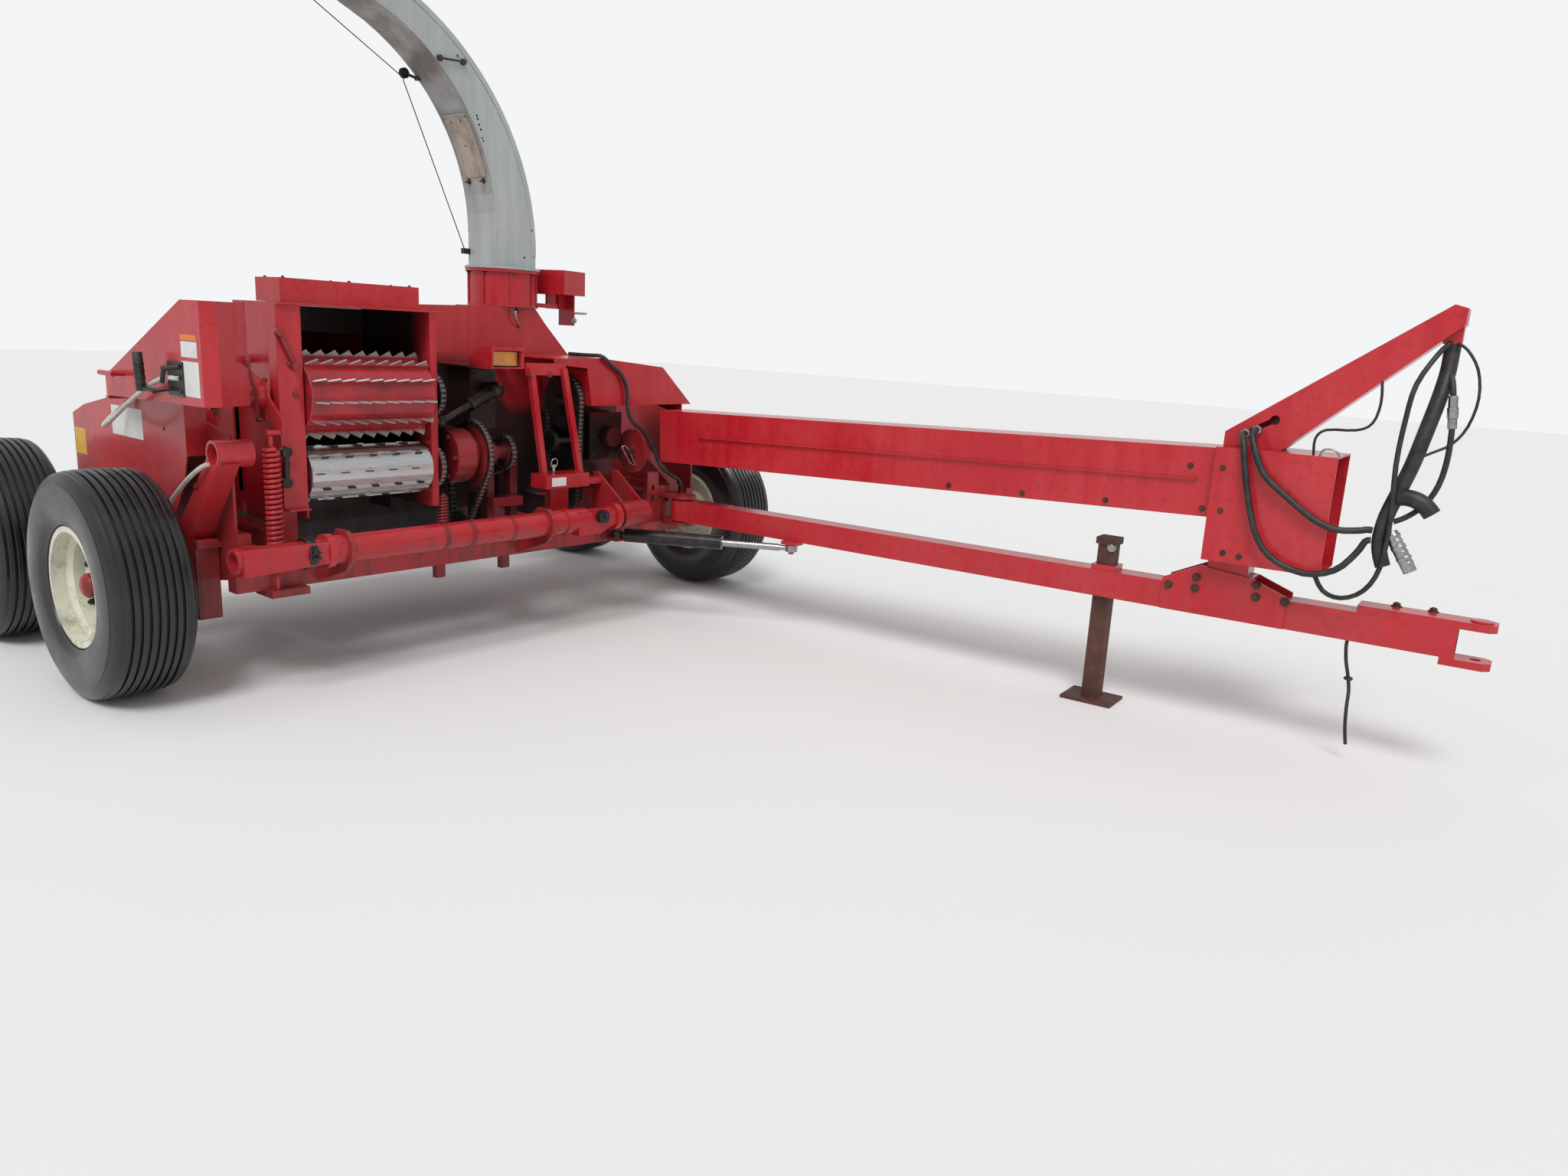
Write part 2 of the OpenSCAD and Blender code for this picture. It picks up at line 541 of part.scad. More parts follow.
module cutterhead_housing() color(red) {
  cx = 20;
  cz = 900;
  difference() {
    union() {
      rod_y(cx, cz, 370, open_y - 30, open_y1 + 60);
      blk(cx, 299.7, open_y - 30, open_y1 + 60, 560, 1270);
      blk(-250, 200, open_y - 30, open_y1 + 60, 550.3, 700);
    }
    rod_y(cx, cz, 362, open_y - 22, open_y1 + 52);
    blk(cx, 310, open_y - 22, open_y1 + 52, 640, 1262);
    blk(299.7, 400, open_y - 40, open_y1 + 70, 500, 1300);
  }
  // cutting drum as a heavy block on its shaft
  rod_y(cx, cz, 255, open_y + 4, open_y1 - 4);
  rod_y(cx, cz, 30, open_y - 70, open_y1 + 52);
  rod_y(cx, cz, 70, open_y - 60, open_y - 28);
  // sharpener housing on top
  blk(-80, 180, open_y - 10, open_y1 + 40, 1250, 1345);
  blk(80, 140, open_y - 120, open_y - 30, 700, 760);
}

blower_y = 90;
blower_z = 915;
blower_r = 360;
module blower_housing() color(red) {
  out = neck_d / 2;
  difference() {
    union() {
      rod_x(blower_y, blower_z, blower_r, neck_x - 120, neck_x + 120);
      // chute up to the neck, and the wide front panel
      sheet_yz([[neck_y - out - 40, blower_z], [neck_y + out, blower_z], [neck_y + out, 1330], [neck_y + 90, 1398],
        [neck_y - out - 20, 1398], [neck_y - out - 60, 1330]], neck_x - 120, neck_x + 120);
      sheet_yz([[open_y1 + 70, 1150], [neck_y - out, 1150], [neck_y - out, 1398], [open_y1 + 70, 1380]],
        neck_x + 112, neck_x + 120);
      sheet_yz([[neck_y + out, 1330], [neck_y + out, 1150], [neck_y + 330, 1150]], neck_x + 112, neck_x + 120);
    }
    rod_x(blower_y, blower_z, blower_r - 6, neck_x - 112, neck_x + 112);
    sheet_yz([[neck_y - out - 34, blower_z], [neck_y + out - 6, blower_z], [neck_y + out - 6, 1326],
      [neck_y + 86, 1392], [neck_y - out - 16, 1392], [neck_y - out - 54, 1328]], neck_x - 114, neck_x + 114);
    rod_z(neck_x, neck_y, 100, 1380, 1410);
  }
  // fan as a heavy disc on its shaft
  rod_x(blower_y, blower_z, 300, neck_x - 60, neck_x + 60);
  rod_x(blower_y, blower_z, 28, neck_x - 150, neck_x + 240);
  blk(neck_x - 110, neck_x + 110, 302, 340, 550.3, 672);
  blk(neck_x - 118, 198, blower_y - 40, blower_y + 40, 550.3, 566);
}

// Cross auger's round housing, from the cutter's left wall to behind the blower
module auger_housing() color(red) {
  x = neck_x - 120 - gap - 140;
  z = 720;
  y1 = blower_y + 170;
  difference() {
    union() {
      rod_y(x, z, 140, open_y1 + 60 + gap, y1);
      rod_y(x, z, 152, open_y1 + 60 + gap, open_y1 + 72);
      blk(x - 30, x + 30, -60, -20, 490 - 19.7, z - 120);
      blk(x - 30, x + 30, y1 - 60, y1 - 20, 490 - 19.7, z - 120);
    }
    rod_y(x, z, 134, open_y1 + 60, y1 - 6);
  }
}

// Cover over the belts that drive the cutter, with the cutter's shaft and the jackshaft in it
module cutter_belt_shield() color(red) {
  y0 = 500;
  front = [300, 830];
  rear = [20, 900];
  difference() {
    union() {
      for (c = [[rear, 190], [front, 138]]) rod_y(c[0][0], c[0][1], c[1], y0, y0 + 130);
      sheet_xz([[8, 712], [291, 694], [356, 954], [98, 1071]], y0, y0 + 130);
      rod_y(rear[0], rear[1], 46, y0 - 40, y0 + 3);
    }
    for (c = [[rear, 184], [front, 132]]) rod_y(c[0][0], c[0][1], c[1], y0 + 6, y0 + 124);
    sheet_xz([[8, 718], [291, 700], [353, 949], [96, 1066]], y0 + 6, y0 + 124);
  }
  rod_y(rear[0], rear[1], 28, open_y1 + 60 + gap, y0 + 150);
  rod_y(rear[0], rear[1], 130, y0 + 30, y0 + 100);
  rod_y(front[0], front[1], 80, y0 + 30, y0 + 100);
  rod_y(front[0], front[1], 24, y0 - 30, y0 + 150);
  blk(-30, 30, y0 + 20, y0 + 110, 470 + gap, 714);
}

module spout_neck() color(red) {
  r = neck_d / 2;
  difference() {
    union() {
      rod_z(neck_x, neck_y, r, 1398.3, neck_z);
      rod_z(neck_x, neck_y, r + 15, neck_z - 12, neck_z);
      rod_z(neck_x, neck_y, r + 8, 1398.3, 1406);
      for (i = [0 : 7]) translate([neck_x, neck_y, 1400]) rotate([0, 0, i * 45 + 20])
        blk(r - 4, r + 8, -3, 3, 0, neck_z - 1400 - 4);
    }
    rod_z(neck_x, neck_y, r - 6, 1397, neck_z + 1);
  }
}

module turntable_motor_box() color(red) {
  x = neck_x + 40;
  y = neck_y + neck_d / 2 + 60;
  translate([x, y, 1470]) rotate([0, 0, 15]) {
    difference() {
      blk(-110, 110, 0, 170, 0, 110);
      blk(-106, 106, 4, 166, 4, 106);
    }
    blk(-40, 40, 60, 120, -65, 4);
  }
  blk(x - 60, x + 20, neck_y + neck_d / 2 + gap, y + 60, 1406.3, 1425);
  blk(x - 20, x + 10, y + 30, y + 60, 1406.3, 1474);
}

// Spout: side outline between an outer and a tighter inner bend, then a straight run.
bend_y = neck_y + 105 - bend_r;
bend_z = neck_z + 67;
inner_r = 850;
inner_y = neck_y - 110 - inner_r;
inner_z = neck_z + 157;
out_end = 68;
in_end = 64;
hinge_a = 33.15;
run = 700;
function out_at(a) = [bend_y + bend_r * cos(a), bend_z + bend_r * sin(a)];
function in_at(a) = [inner_y + inner_r * cos(a), inner_z + inner_r * sin(a)];
end_dir = [-sin(out_end), cos(out_end)];
end_out = out_at(out_end) + run * end_dir;
end_in = in_at(in_end) + (run + 40) * end_dir;
module spout_outline(t) {
  base = neck_z + 12 - (t > 0 ? 1 : 0);
  polygon(concat(
    [[inner_y + inner_r + t, base], [bend_y + bend_r - t, base]],
    [for (i = [0 : 18]) let (a = out_end * i / 18, p = out_at(a)) p - t * [cos(a), sin(a)]],
    [end_out + (t > 0 ? 2 : 0) * end_dir - t * [cos(out_end), sin(out_end)],
     end_in + (t > 0 ? 2 : 0) * end_dir + t * [cos(out_end), sin(out_end)]],
    [for (i = [0 : 12]) let (a = in_end * (12 - i) / 12, p = in_at(a)) p + t * [cos(a), sin(a)]]));
}
module discharge_spout() color(grey_paint) {
  r = neck_d / 2;
  difference() {
    union() {
      translate([neck_x - spout_in, 0, 0]) rotate([90, 0, 90]) linear_extrude(spout_w) spout_outline(0);
      rod_z(neck_x, neck_y, r + 15, neck_z + gap, neck_z + 12.5);
      at_door_hinge() {
        for (s = [-1, 1]) translate([s * 73, 0, 0]) blk(-7, 7, -5, 9, -5, 5);
        rod_x(0, 0, 2.5, -80, 80);
      }
    }
    translate([neck_x - spout_in + 4, 0, 0]) rotate([90, 0, 90]) linear_extrude(spout_w - 8) spout_outline(4);
    translate([neck_x, neck_y, neck_z]) linear_extrude(13)
      square([spout_w - 8, 190], center = true);
    // door opening in the inner face
    translate([neck_x, inner_y, inner_z]) rotate([24, 0, 0]) blk(-66, 66, inner_r - 30, inner_r + 30, -118, 118);
  }
}
module at_door_hinge() translate([neck_x, inner_y, inner_z]) rotate([hinge_a, 0, 0]) translate([0, inner_r - 7, 0]) children();
module spout_door() color([0.62, 0.55, 0.48]) {
  a0 = 15.5;
  a1 = 33;
  at_door_hinge() difference() {
    rod_x(0, 0, 5, -65, 65);
    rod_x(0, 0, 2.5 + fit, -66, 66);
  }
  difference() {
    translate([neck_x, inner_y, inner_z]) rotate([90, 0, 90]) translate([0, 0, -80]) linear_extrude(160)
      polygon(concat([for (i = [0 : 8]) let (a = a0 + (a1 - a0) * i / 8) (inner_r - 1) * [cos(a), sin(a)]],
        [for (i = [8 : -1 : 0]) let (a = a0 + (a1 - a0) * i / 8) (inner_r - 4) * [cos(a), sin(a)]]));
    at_door_hinge() for (s = [-1, 1]) translate([s * 73, 0, 0]) blk(-8, 8, -12, 14, -14, 8);
  }
}
// The cap at the spout's end, hinged above its outer face; +z is inward here.
cap_up = 9;
module spout_deflector() color(grey_paint) {
  translate([neck_x, end_out[0] + cap_up * cos(out_end), end_out[1] + cap_up * sin(out_end)]) rotate([out_end + 90, 0, 0]) {
    for (s = [-1, 1]) translate([s > 0 ? spout_in + 1 : -spout_in - 4, 0, 0])
      rotate([90, 0, 90]) linear_extrude(3) polygon([[-34, -4], [380, -4], [372, 60], [60, 138], [-20, 60]]);
    blk(-spout_in - 4, spout_in + 4, -34, 380, -7, -4);
    rod_x(0, 0, 8, -spout_in - 10, spout_in + 10);
  }
}

// Drive side

module feed_chain_drive() color(greasy) {
  chain_loop([upper_roll_x, upper_roll_z], 80, 14, [470, 1000], 44, 9, open_y1 + 58);
  rod_y(470, 1000, 14, open_y1 + side_t + gap, open_y1 + 72);
}
module slip_clutch_shaft() color(dark_red) {
  x = 680;
  z = 785;
  rod_y(x, z, 18, open_y1 + 48, 100);
  rod_y(x, z, 112, -262, -172);
  rod_y(x, z, 84, -172, -140);
  for (a = [0 : 60 : 300]) translate([x + 92 * cos(a), -276, z + 92 * sin(a)]) rotate([-90, 0, 0]) cylinder(r = 9, h = 20);
  rod_y(x, z, 46, -92, -20);
  rod_y(x, z, 30, -20, 40);
  chain_loop([x, z], 140, 24, [600, 480], 52, 10, -128);
  chain_loop([x, z], 66, 12, [520, 700], 44, 9, 44);
  chain_loop([lower_roll_x, lower_roll_z], 82, 14, [500, 640], 44, 9, open_y1 + 46);
  rod_y(600, 480, 16, -180, -60);
  rod_y(520, 700, 16, 30, 70);
  rod_y(500, 640, 16, open_y1 + side_t + gap, open_y1 + 66);
}
module tall_chain_drive() color(greasy) {
  chain_loop([660, 995], 118, 20, [660, 560], 96, 16, 385);
  for (z = [995, 560]) rod_y(660, z, 20, 330, 456);
  rod_y(660, 820, 48, 300, 320);
  rod_y(660, 820, 16, 300, 456);
  sheet_xz([[450.3, 620], [620, 540], [700, 540], [700, 1020], [620, 1040], [450.3, 900]], 455, 467);
}
module telescopic_shaft() color(greasy) {
  a = [upper_roll_x + 5, open_y1 + 100, 925];
  b = [668, 10, 1050];
  mid = a + 0.5 * (b - a);
  strut(a, mid + 0.1 * (b - a), 15);
  strut(mid, b, 27);
  translate(a) sphere(r = 24);
  rod_y(a[0], a[2], 16, open_y1 + side_t + gap, a[1]);
  translate(b) sphere(r = 36);
  rod_x(b[1], b[2], 30, 600.3, b[0]);
}
module feed_gearbox() color(dark_red) {
  blk(450.3, 600, -70, 60, 880, 1130);
  rod_y(540, 1050, 44, 60, 84);

}
module main_gearbox() color(dark_red) {
  blk(450.3, 640, 560, 760, 720, 940);
  rod_x(660, 830, 46, 640, 700);
  rod_y(560, 830, 40, 467.3, 560);
}
module left_drive_shield() color(red) {
  x1 = open_x + 10;
  difference() {
    sheet_yz([[225, 1165], [225, 1190], [480, 1196], [880, 1160], [1080, 985], [440, 985], [410, 1150]],
      x1 - 330, x1);
    sheet_yz([[220, 1150], [220, 1186], [480, 1192], [878, 1155], [1074, 980], [446, 980], [416, 1140]],
      x1 - 326, x1 - sheet);
    rod_y(660, 995, 26, 415, 460);
  }
}
module lamp_box() color(red) {
  difference() {
    sheet_xz([[open_x - 120, 1145], [open_x + 30, 1145], [open_x + 30, 1232], [open_x - 30, 1230], [open_x - 120, 1182]],
      -115, 48);
    blk(open_x - 48, open_x + 31, -105, 38, 1151, 1217);
    sheet_xz([[open_x - 112, 1151], [open_x - 47, 1151], [open_x - 47, 1212], [open_x - 112, 1177.5]], -109, 42);
  }
  blk(410.3, open_x - 119, -115, 48, 1145, 1150);
}
module amber_lamp() color([0.9, 0.45, 0.05]) {
  blk(open_x - 46, open_x + 6, -100, 33, 1154, 1214);
  blk(open_x - 30, open_x - 20, -60, 0, 1151 + gap, 1155);
}
module ladder_bracket() color(red) {
  x = open_x + 30;
  for (s = [[60, 130], [235, 330]]) sheet_yz([[s[0], 1150], [s[0] + 26, 1150], [s[1] + 26, 700], [s[1], 700]], x, x + 24);
  blk(x, x + 10, 55, 265, 1120, 1170);
  blk(x - 45, x + 60, 120, 360, 640, 700);
  blk(x - 34, x + 20, 340, 470 - gap, 640, 668);
  blk(x - 40, x - 10, 200, 299.7, 420.3, 640);
  blk(440, x + 5, 150, 200, 1140.3, 1148);
}
module hand_wheel() color(dark_red) {
  translate([open_x - 10, 715, 770]) rotate([90, 0, 0]) {
    difference() {
      linear_extrude(8) polygon(sprocket(40, 96, 6));
      translate([-30, -8, -1]) cube([60, 16, 4]);
    }
    translate([0, 0, -60]) cylinder(r = 16, h = 90);
  }
  blk(450.3, open_x, 765.3, 781, 742, 798);
}

// Tongue

module drawbar() color(red) tongue() {
  h = bar_w / 2;
  back = 56;
  difference() {
    union() {
      blk(back, hitch_len - 60, -h, h, hitch_z - h, hitch_z + h);
      rod_z(0, 0, 56, hitch_z - h, hitch_z + h);
      blk(0, back + 10, -52, 52, hitch_z - h, hitch_z + h);
      // clevis plates above and below
      for (z = [hitch_z + h, hitch_z - h - 25]) translate([0, 0, z]) linear_extrude(25) polygon([
        [hitch_len - (z > hitch_z ? 360 : 100), -clevis_w / 2], [hitch_len + tip_past - clevis_clip, -clevis_w / 2],
        [hitch_len + tip_past, -clevis_w / 2 + clevis_clip], [hitch_len + tip_past, clevis_w / 2 - clevis_clip],
        [hitch_len + tip_past - clevis_clip, clevis_w / 2], [hitch_len - (z > hitch_z ? 360 : 100), clevis_w / 2]]);
      // saddle plates with the seat of the driveline box
      for (s = [-1, 1]) sheet_xz([[hitch_len - 1010, hitch_z - h], [hitch_len - 580, hitch_z - h],
        [hitch_len - 580, hitch_z + h + 12], [hitch_len - 700, hitch_z + 110], [hitch_len - 880, hitch_z + 130],
        [hitch_len - 1010, hitch_z + h + 16]], s > 0 ? h : -h - 8, s > 0 ? h + 8 : -h);
      blk(hitch_len - 880, hitch_len - 700, -h - 8, h + 8, hitch_z + 100, hitch_z + 110);
      // ear of the swing cylinder
      blk(660, 740, -90, -30, hitch_z - h - 12, hitch_z - h + 4);
      rod_z(700, -62, 12.5, cyl_z - 26, hitch_z - h);
      // sleeve of the parking stand
      blk(stand_s - 46, stand_s + 46, -46, 46, hitch_z + h, hitch_z + h + 20);
    }
    blk(back + 20, hitch_len - 59, -h + 7, h - 7, hitch_z - h + 7, hitch_z + h - 7);
    rod_z(0, 0, 20 + fit, hitch_z - h - 1, hitch_z + h + 1);
    rod_z(hitch_len, 0, hitch_pin_d / 2, hitch_z - h - 30, hitch_z + h + 30);
    blk(stand_s - 33, stand_s + 33, -33, 33, hitch_z - h - 1, hitch_z + h + 21);
  }
}
module parking_stand() color([0.25, 0.16, 0.14]) tongue() {
  difference() {
    blk(stand_s - 32, stand_s + 32, -32, 32, 12, hitch_z + 150);
    blk(stand_s - 27, stand_s + 27, -27, 27, 20, hitch_z + 149);
  }
  blk(stand_s - 40, stand_s + 40, -40, 40, hitch_z + 150, hitch_z + 176);
  blk(stand_s - 100, stand_s + 100, -80, 80, 0, 12);
}

shield_w = 200;
shield_h = 245;
beam_rise = 1.7;
box_top = 1040;
box_s0 = hitch_len - 868;
module driveline_shield() color(red) tongue() {
  translate([-70, 0, 712]) rotate([0, -beam_rise, 0]) difference() {
    union() {
      blk(0, (box_s0 + 70 - gap) / cos(beam_rise), -shield_w / 2, shield_w / 2, 0, shield_h);
      for (s = [-1, 1]) blk(240, hitch_len - 850, s > 0 ? shield_w / 2 : -shield_w / 2 - 12,
        s > 0 ? shield_w / 2 + 12 : -shield_w / 2, 128, 134);
    }
    blk(-1, hitch_len, -shield_w / 2 + 4, shield_w / 2 - 4, -1, shield_h - 4);
  }
}
module driveline_box() color(red) tongue() {
  s1 = hitch_len - 480;
  difference() {
    union() {
      blk(box_s0, s1, -130, 130, 640, box_top);
      blk(hitch_len - 860, hitch_len - 720, -50, 50, hitch_z + 110.3, 642);
    }
    blk(box_s0 + 5, s1 + 1, -125, 125, 645, box_top - 5);
    blk(box_s0 - 1, box_s0 + 6, -94, 94, 796, box_top - 14);
  }
}
module hose_mast() color(red) tongue() {
  s0 = box_s0 + 4;
  z = box_top;
  // lug under the tip that the hose sleeve hangs from
  blk(s0 + 612, s0 + 664, -22, 22, z + 380, z + 448);
  difference() {
    sheet_xz([[s0, z + gap], [s0, z + 50], [s0 + 630, z + 501], [s0 + 668, z + 490], [s0 + 668, z + 440],
      [s0 + 190, z + gap]], -50, 50);
    sheet_xz([[s0 - 1, z + 6], [s0 - 1, z + 42], [s0 + 631, z + 494], [s0 + 662, z + 485], [s0 + 662, z + 446],
      [s0 + 187, z + 6]], -44, 44);
    // keyhole slot
    hull() for (k = [0, 60]) rod_y(s0 + 90 + k, z + 62 + k * 0.6, 9, -51, -43);
    rod_y(s0 + 158, z + 102, 16, -51, -43);
  }
}

// Swing cylinder between the frame and the drawbar, opened at the rod's eye.
module swing_cylinder_barrel() color(greasy) difference() {
  union() {
    strut(cyl_p + 40 * cyl_u, cyl_p + 500 * cyl_u, 32);
    rod_z(cyl_p[0], cyl_p[1], 28, cyl_z - 14, cyl_z + 14);
    strut(cyl_p, cyl_p + 60 * cyl_u, 13);
  }
  rod_z(cyl_p[0], cyl_p[1], 12.5 + fit, cyl_z - 30, cyl_z + 30);
  strut(cyl_p + 80 * cyl_u, cyl_p + 501 * cyl_u, 16 + fit);
}
module swing_cylinder_rod() color(steel) difference() {
  union() {
    strut(cyl_p + 220 * cyl_u, cyl_q - 54 * cyl_u, 16);
    strut(cyl_p + 300 * cyl_u, cyl_q, 12);
    rod_z(cyl_q[0], cyl_q[1], 28, cyl_z - 14, cyl_z + 14);
  }
  // wide enough for the eye's drift from the drawbar's pin at both limits
  rod_z(cyl_q[0], cyl_q[1], 18.5, cyl_z - 30, cyl_z + 30);
}

// Cords: a tube swept along hand-chosen points
function unit(v) = v / norm(v);
function side_of(t) = unit(cross(t, abs(t[2]) > 0.9 ? [1, 0, 0] : [0, 0, 1]));
function smooth(p, n) = [for (i = [0 : len(p) - 2]) for (k = [0 : n - 1])
  let (t = k / n, a = p[max(i - 1, 0)], b = p[i], c = p[i + 1], d = p[min(i + 2, len(p) - 1)])
  0.5 * ((2 * b) + (c - a) * t + (2 * a - 5 * b + 4 * c - d) * t * t + (3 * b - a - 3 * c + d) * t * t * t)];
module cord(points, r, sides = 8, n = 4) {
  path = concat(smooth(points, n), [points[len(points) - 1]]);
  last = len(path) - 1;
  rings = [for (i = [0 : last]) let (t = unit(path[min(i + 1, last)] - path[max(i - 1, 0)]), u = side_of(t), v = cross(t, u))
    for (k = [0 : sides - 1]) path[i] + r * (cos(k * 360 / sides) * u + sin(k * 360 / sides) * v)];
  polyhedron(rings, concat(
    [[for (k = [0 : sides - 1]) k]],
    [for (i = [0 : last - 1]) for (k = [0 : sides - 1])
      [i * sides + k, (i + 1) * sides + k, (i + 1) * sides + (k + 1) % sides, i * sides + (k + 1) % sides]],
    [[for (k = [sides - 1 : -1 : 0]) last * sides + k]]));
}
// Hose routes in the drawbar's own frame: forward of the swing pivot, left, up.
hose_a = [[2578, -50.4, 1090], [2579, -110, 1087], [2596, -150, 1051], [2620, -160, 946], [2668, -165, 783],
  [2733, -168, 691], [2844, -165, 650], [2936, -155, 674], [2988, -134, 736], [3008, -122, 778], [3023.8, -119, 784]];
hose_b = [[2614, -50.4, 1105], [2614, -104, 1103], [2622, -140, 1068], [2674, -155, 965], [2760, -158, 895],
  [2847, -155, 834], [2917, -148, 808], [2984, -130, 812], [3006, -120, 817], [3022.6, -119, 817]];
sleeve = [[3146, 0, 1419.7], [3146, -2, 1390], [3146, -18, 1330], [3138, -52, 1250], [3122, -84, 1150], [3102, -105, 1040],
  [3078, -113, 950], [3056, -117, 870], [3048, -119, 800], [3054, -119, 750], [3070, -118, 705]];
module hydraulic_hoses() color(rubber) tongue() cord(hose_a, 11);
module lower_hose() color(rubber) tongue() cord(hose_b, 11);
module hose_sleeve() color(rubber) tongue() cord(sleeve, 24, 12, 3);

// Ropes on the right side, in the machine's own frame.
rope_a = [[775, -shield_y - 7.4, 1098], [775, -1321, 1098.2], [766, -1327, 1098.8], [742, -1328.5, 1099], [700, -1331, 1093],
  [640, -1333, 1078], [540, -1333, 1043], [390, -1333, 982], [250, -1333, 918], [180, -1330, 893], [138, -1316, 892],
  [114, -1292, 908], [118, -1264, 936], [148, -1248, 962], [184, -1240, 986], [200, -1228, 1001], [216, -1212, 1006]];
rope_b = [[772, -outer_y - 1.1, 812], [772, -outer_y - 9, 812], [765, -1248, 808], [748, -1256, 797], [660, -1257, 752], [560, -1260, 685],
  [460, -1262, 610], [405, -1257, 567], [368, -1230, 538], [346, -1188, 518], [342, -frame_half - 1.6, 515]];
drive_route = [[600, 468, 1205], [700, 470, 1205.2], [760, 474, 1206], [792, 484, 1206], [810, 502, 1191], [808, 545, 1158],
  [807, 600, 1124], [807, 634, 1062], [807, 640, 990], [807, 655, 934], [806, 690, 899], [806, 718, 884], [806, 765, 846],
  [806, 818, 786], [804, 848, 720], [803, 884, 678], [802, 950, 640], [801, 1004, 612], [800, 1018, 578], [800, 1018, 549]];
module white_rope() color([0.9, 0.9, 0.86]) cord(rope_a, 8);
module socket_rope() color([0.9, 0.9, 0.86]) cord(rope_b, 8);
module drive_hose() color(rubber) cord(drive_route, 9, 8, 3);

place() chassis_frame();
place() axle_beam();
place() tandem_beam(-1);  // tandem_beam_right
place() tandem_beam(1);  // tandem_beam_left
place() wheel_rim(-1, 1);  // wheel_rim_right_front
place() wheel_rim(-1, -1);  // wheel_rim_right_rear
place() wheel_rim(1, 1);  // wheel_rim_left_front
place() wheel_rim(1, -1);  // wheel_rim_left_rear
place() tyre(-1, 1);  // tyre_right_front
place() tyre(-1, -1);  // tyre_right_rear
place() tyre(1, 1);  // tyre_left_front
place() tyre(1, -1);  // tyre_left_rear
place() feed_housing();
place() detector_hood();
place() upper_feed_roll();
place() lower_feed_roll();
place() roll_arm(-1);  // roll_arm_right
place() roll_arm(1);  // roll_arm_left
place() roll_spring_right();
place() roll_spring_left();
place() header_lift_tube();
place() lift_socket_arm();
place() right_lower_panel();
place() right_upper_shield();
place() shield_lever();
place() left_side_panel();
place() cutterhead_housing();
place() blower_housing();
place() spout_neck();
place() turntable_motor_box();
place() discharge_spout();
place() spout_door();
place() spout_deflector();
place() feed_chain_drive();
place() tall_chain_drive();
place() slip_clutch_shaft();
place() telescopic_shaft();
place() feed_gearbox();
place() main_gearbox();
place() left_drive_shield();
place() lamp_box();
place() amber_lamp();
place() ladder_bracket();
place() hand_wheel();
place() drawbar();
place() driveline_shield();
place() driveline_box();
place() hose_mast();
place() parking_stand();
place() swing_cylinder_barrel();
place() swing_cylinder_rod();
place() hydraulic_hoses();
place() lower_hose();
place() hose_sleeve();
place() drive_hose();
place() white_rope();
place() socket_rope();
place() auger_housing();
place() cutter_belt_shield();
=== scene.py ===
import bpy
import math
from mathutils import Matrix, Vector


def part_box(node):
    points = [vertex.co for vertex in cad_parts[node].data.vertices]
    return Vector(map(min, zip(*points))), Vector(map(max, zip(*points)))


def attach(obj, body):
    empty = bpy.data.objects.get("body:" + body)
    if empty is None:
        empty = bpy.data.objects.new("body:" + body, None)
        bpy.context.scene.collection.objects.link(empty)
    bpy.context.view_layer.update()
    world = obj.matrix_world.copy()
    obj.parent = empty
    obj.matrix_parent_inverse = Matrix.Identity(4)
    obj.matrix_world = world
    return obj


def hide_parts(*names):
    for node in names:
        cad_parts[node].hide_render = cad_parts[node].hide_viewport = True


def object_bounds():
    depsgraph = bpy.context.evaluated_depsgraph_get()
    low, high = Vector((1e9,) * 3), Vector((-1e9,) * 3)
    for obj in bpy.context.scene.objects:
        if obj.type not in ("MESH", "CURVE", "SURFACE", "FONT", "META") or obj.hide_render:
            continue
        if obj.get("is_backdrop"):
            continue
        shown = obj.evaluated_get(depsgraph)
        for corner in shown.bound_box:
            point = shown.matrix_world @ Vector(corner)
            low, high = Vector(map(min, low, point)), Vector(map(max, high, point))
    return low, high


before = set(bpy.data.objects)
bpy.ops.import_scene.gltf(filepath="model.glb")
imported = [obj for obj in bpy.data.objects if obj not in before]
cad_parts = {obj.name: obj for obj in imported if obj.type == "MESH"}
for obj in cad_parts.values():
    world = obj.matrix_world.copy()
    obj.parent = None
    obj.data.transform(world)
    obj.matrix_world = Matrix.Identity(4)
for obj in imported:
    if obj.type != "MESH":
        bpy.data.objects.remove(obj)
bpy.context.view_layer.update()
print("frame loaded:", len(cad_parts), "nodes")


# Places. The machine's own frame has x = 0 at the tandem pivot, y to its left, z up.
def middleOf(node):
    low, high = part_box(node)
    return (low + high) / 2


pivotLine = middleOf("axle_beam").x

tongueFacts = {
    "pivotX": 0.850,
    "pivotY": 0.985,
    "turn": math.radians(4),  # drawbar swung to the left
    "hitch": 3.370,  # swing pivot to hitch pin
}


def at(x, y, z):
    return Vector((pivotLine + x, y, z))


def onTongue(along, left, up):
    facts = tongueFacts
    c, s = math.cos(facts["turn"]), math.sin(facts["turn"])
    return at(facts["pivotX"] + along * c - left * s, facts["pivotY"] + along * s + left * c, up)


# Camera at the photograph's viewing angle
cameraFacts = {
    "place": (4.580, -2.905, 1.335),  # machine frame, eye height of a standing person
    "aim": (1.562, 0.922, 0.218),  # a point five metres ahead
    "roll": 3.07,  # degrees, the horizon dips to the left
    "lens": 25.2,
    "sensor": 36.0,
}


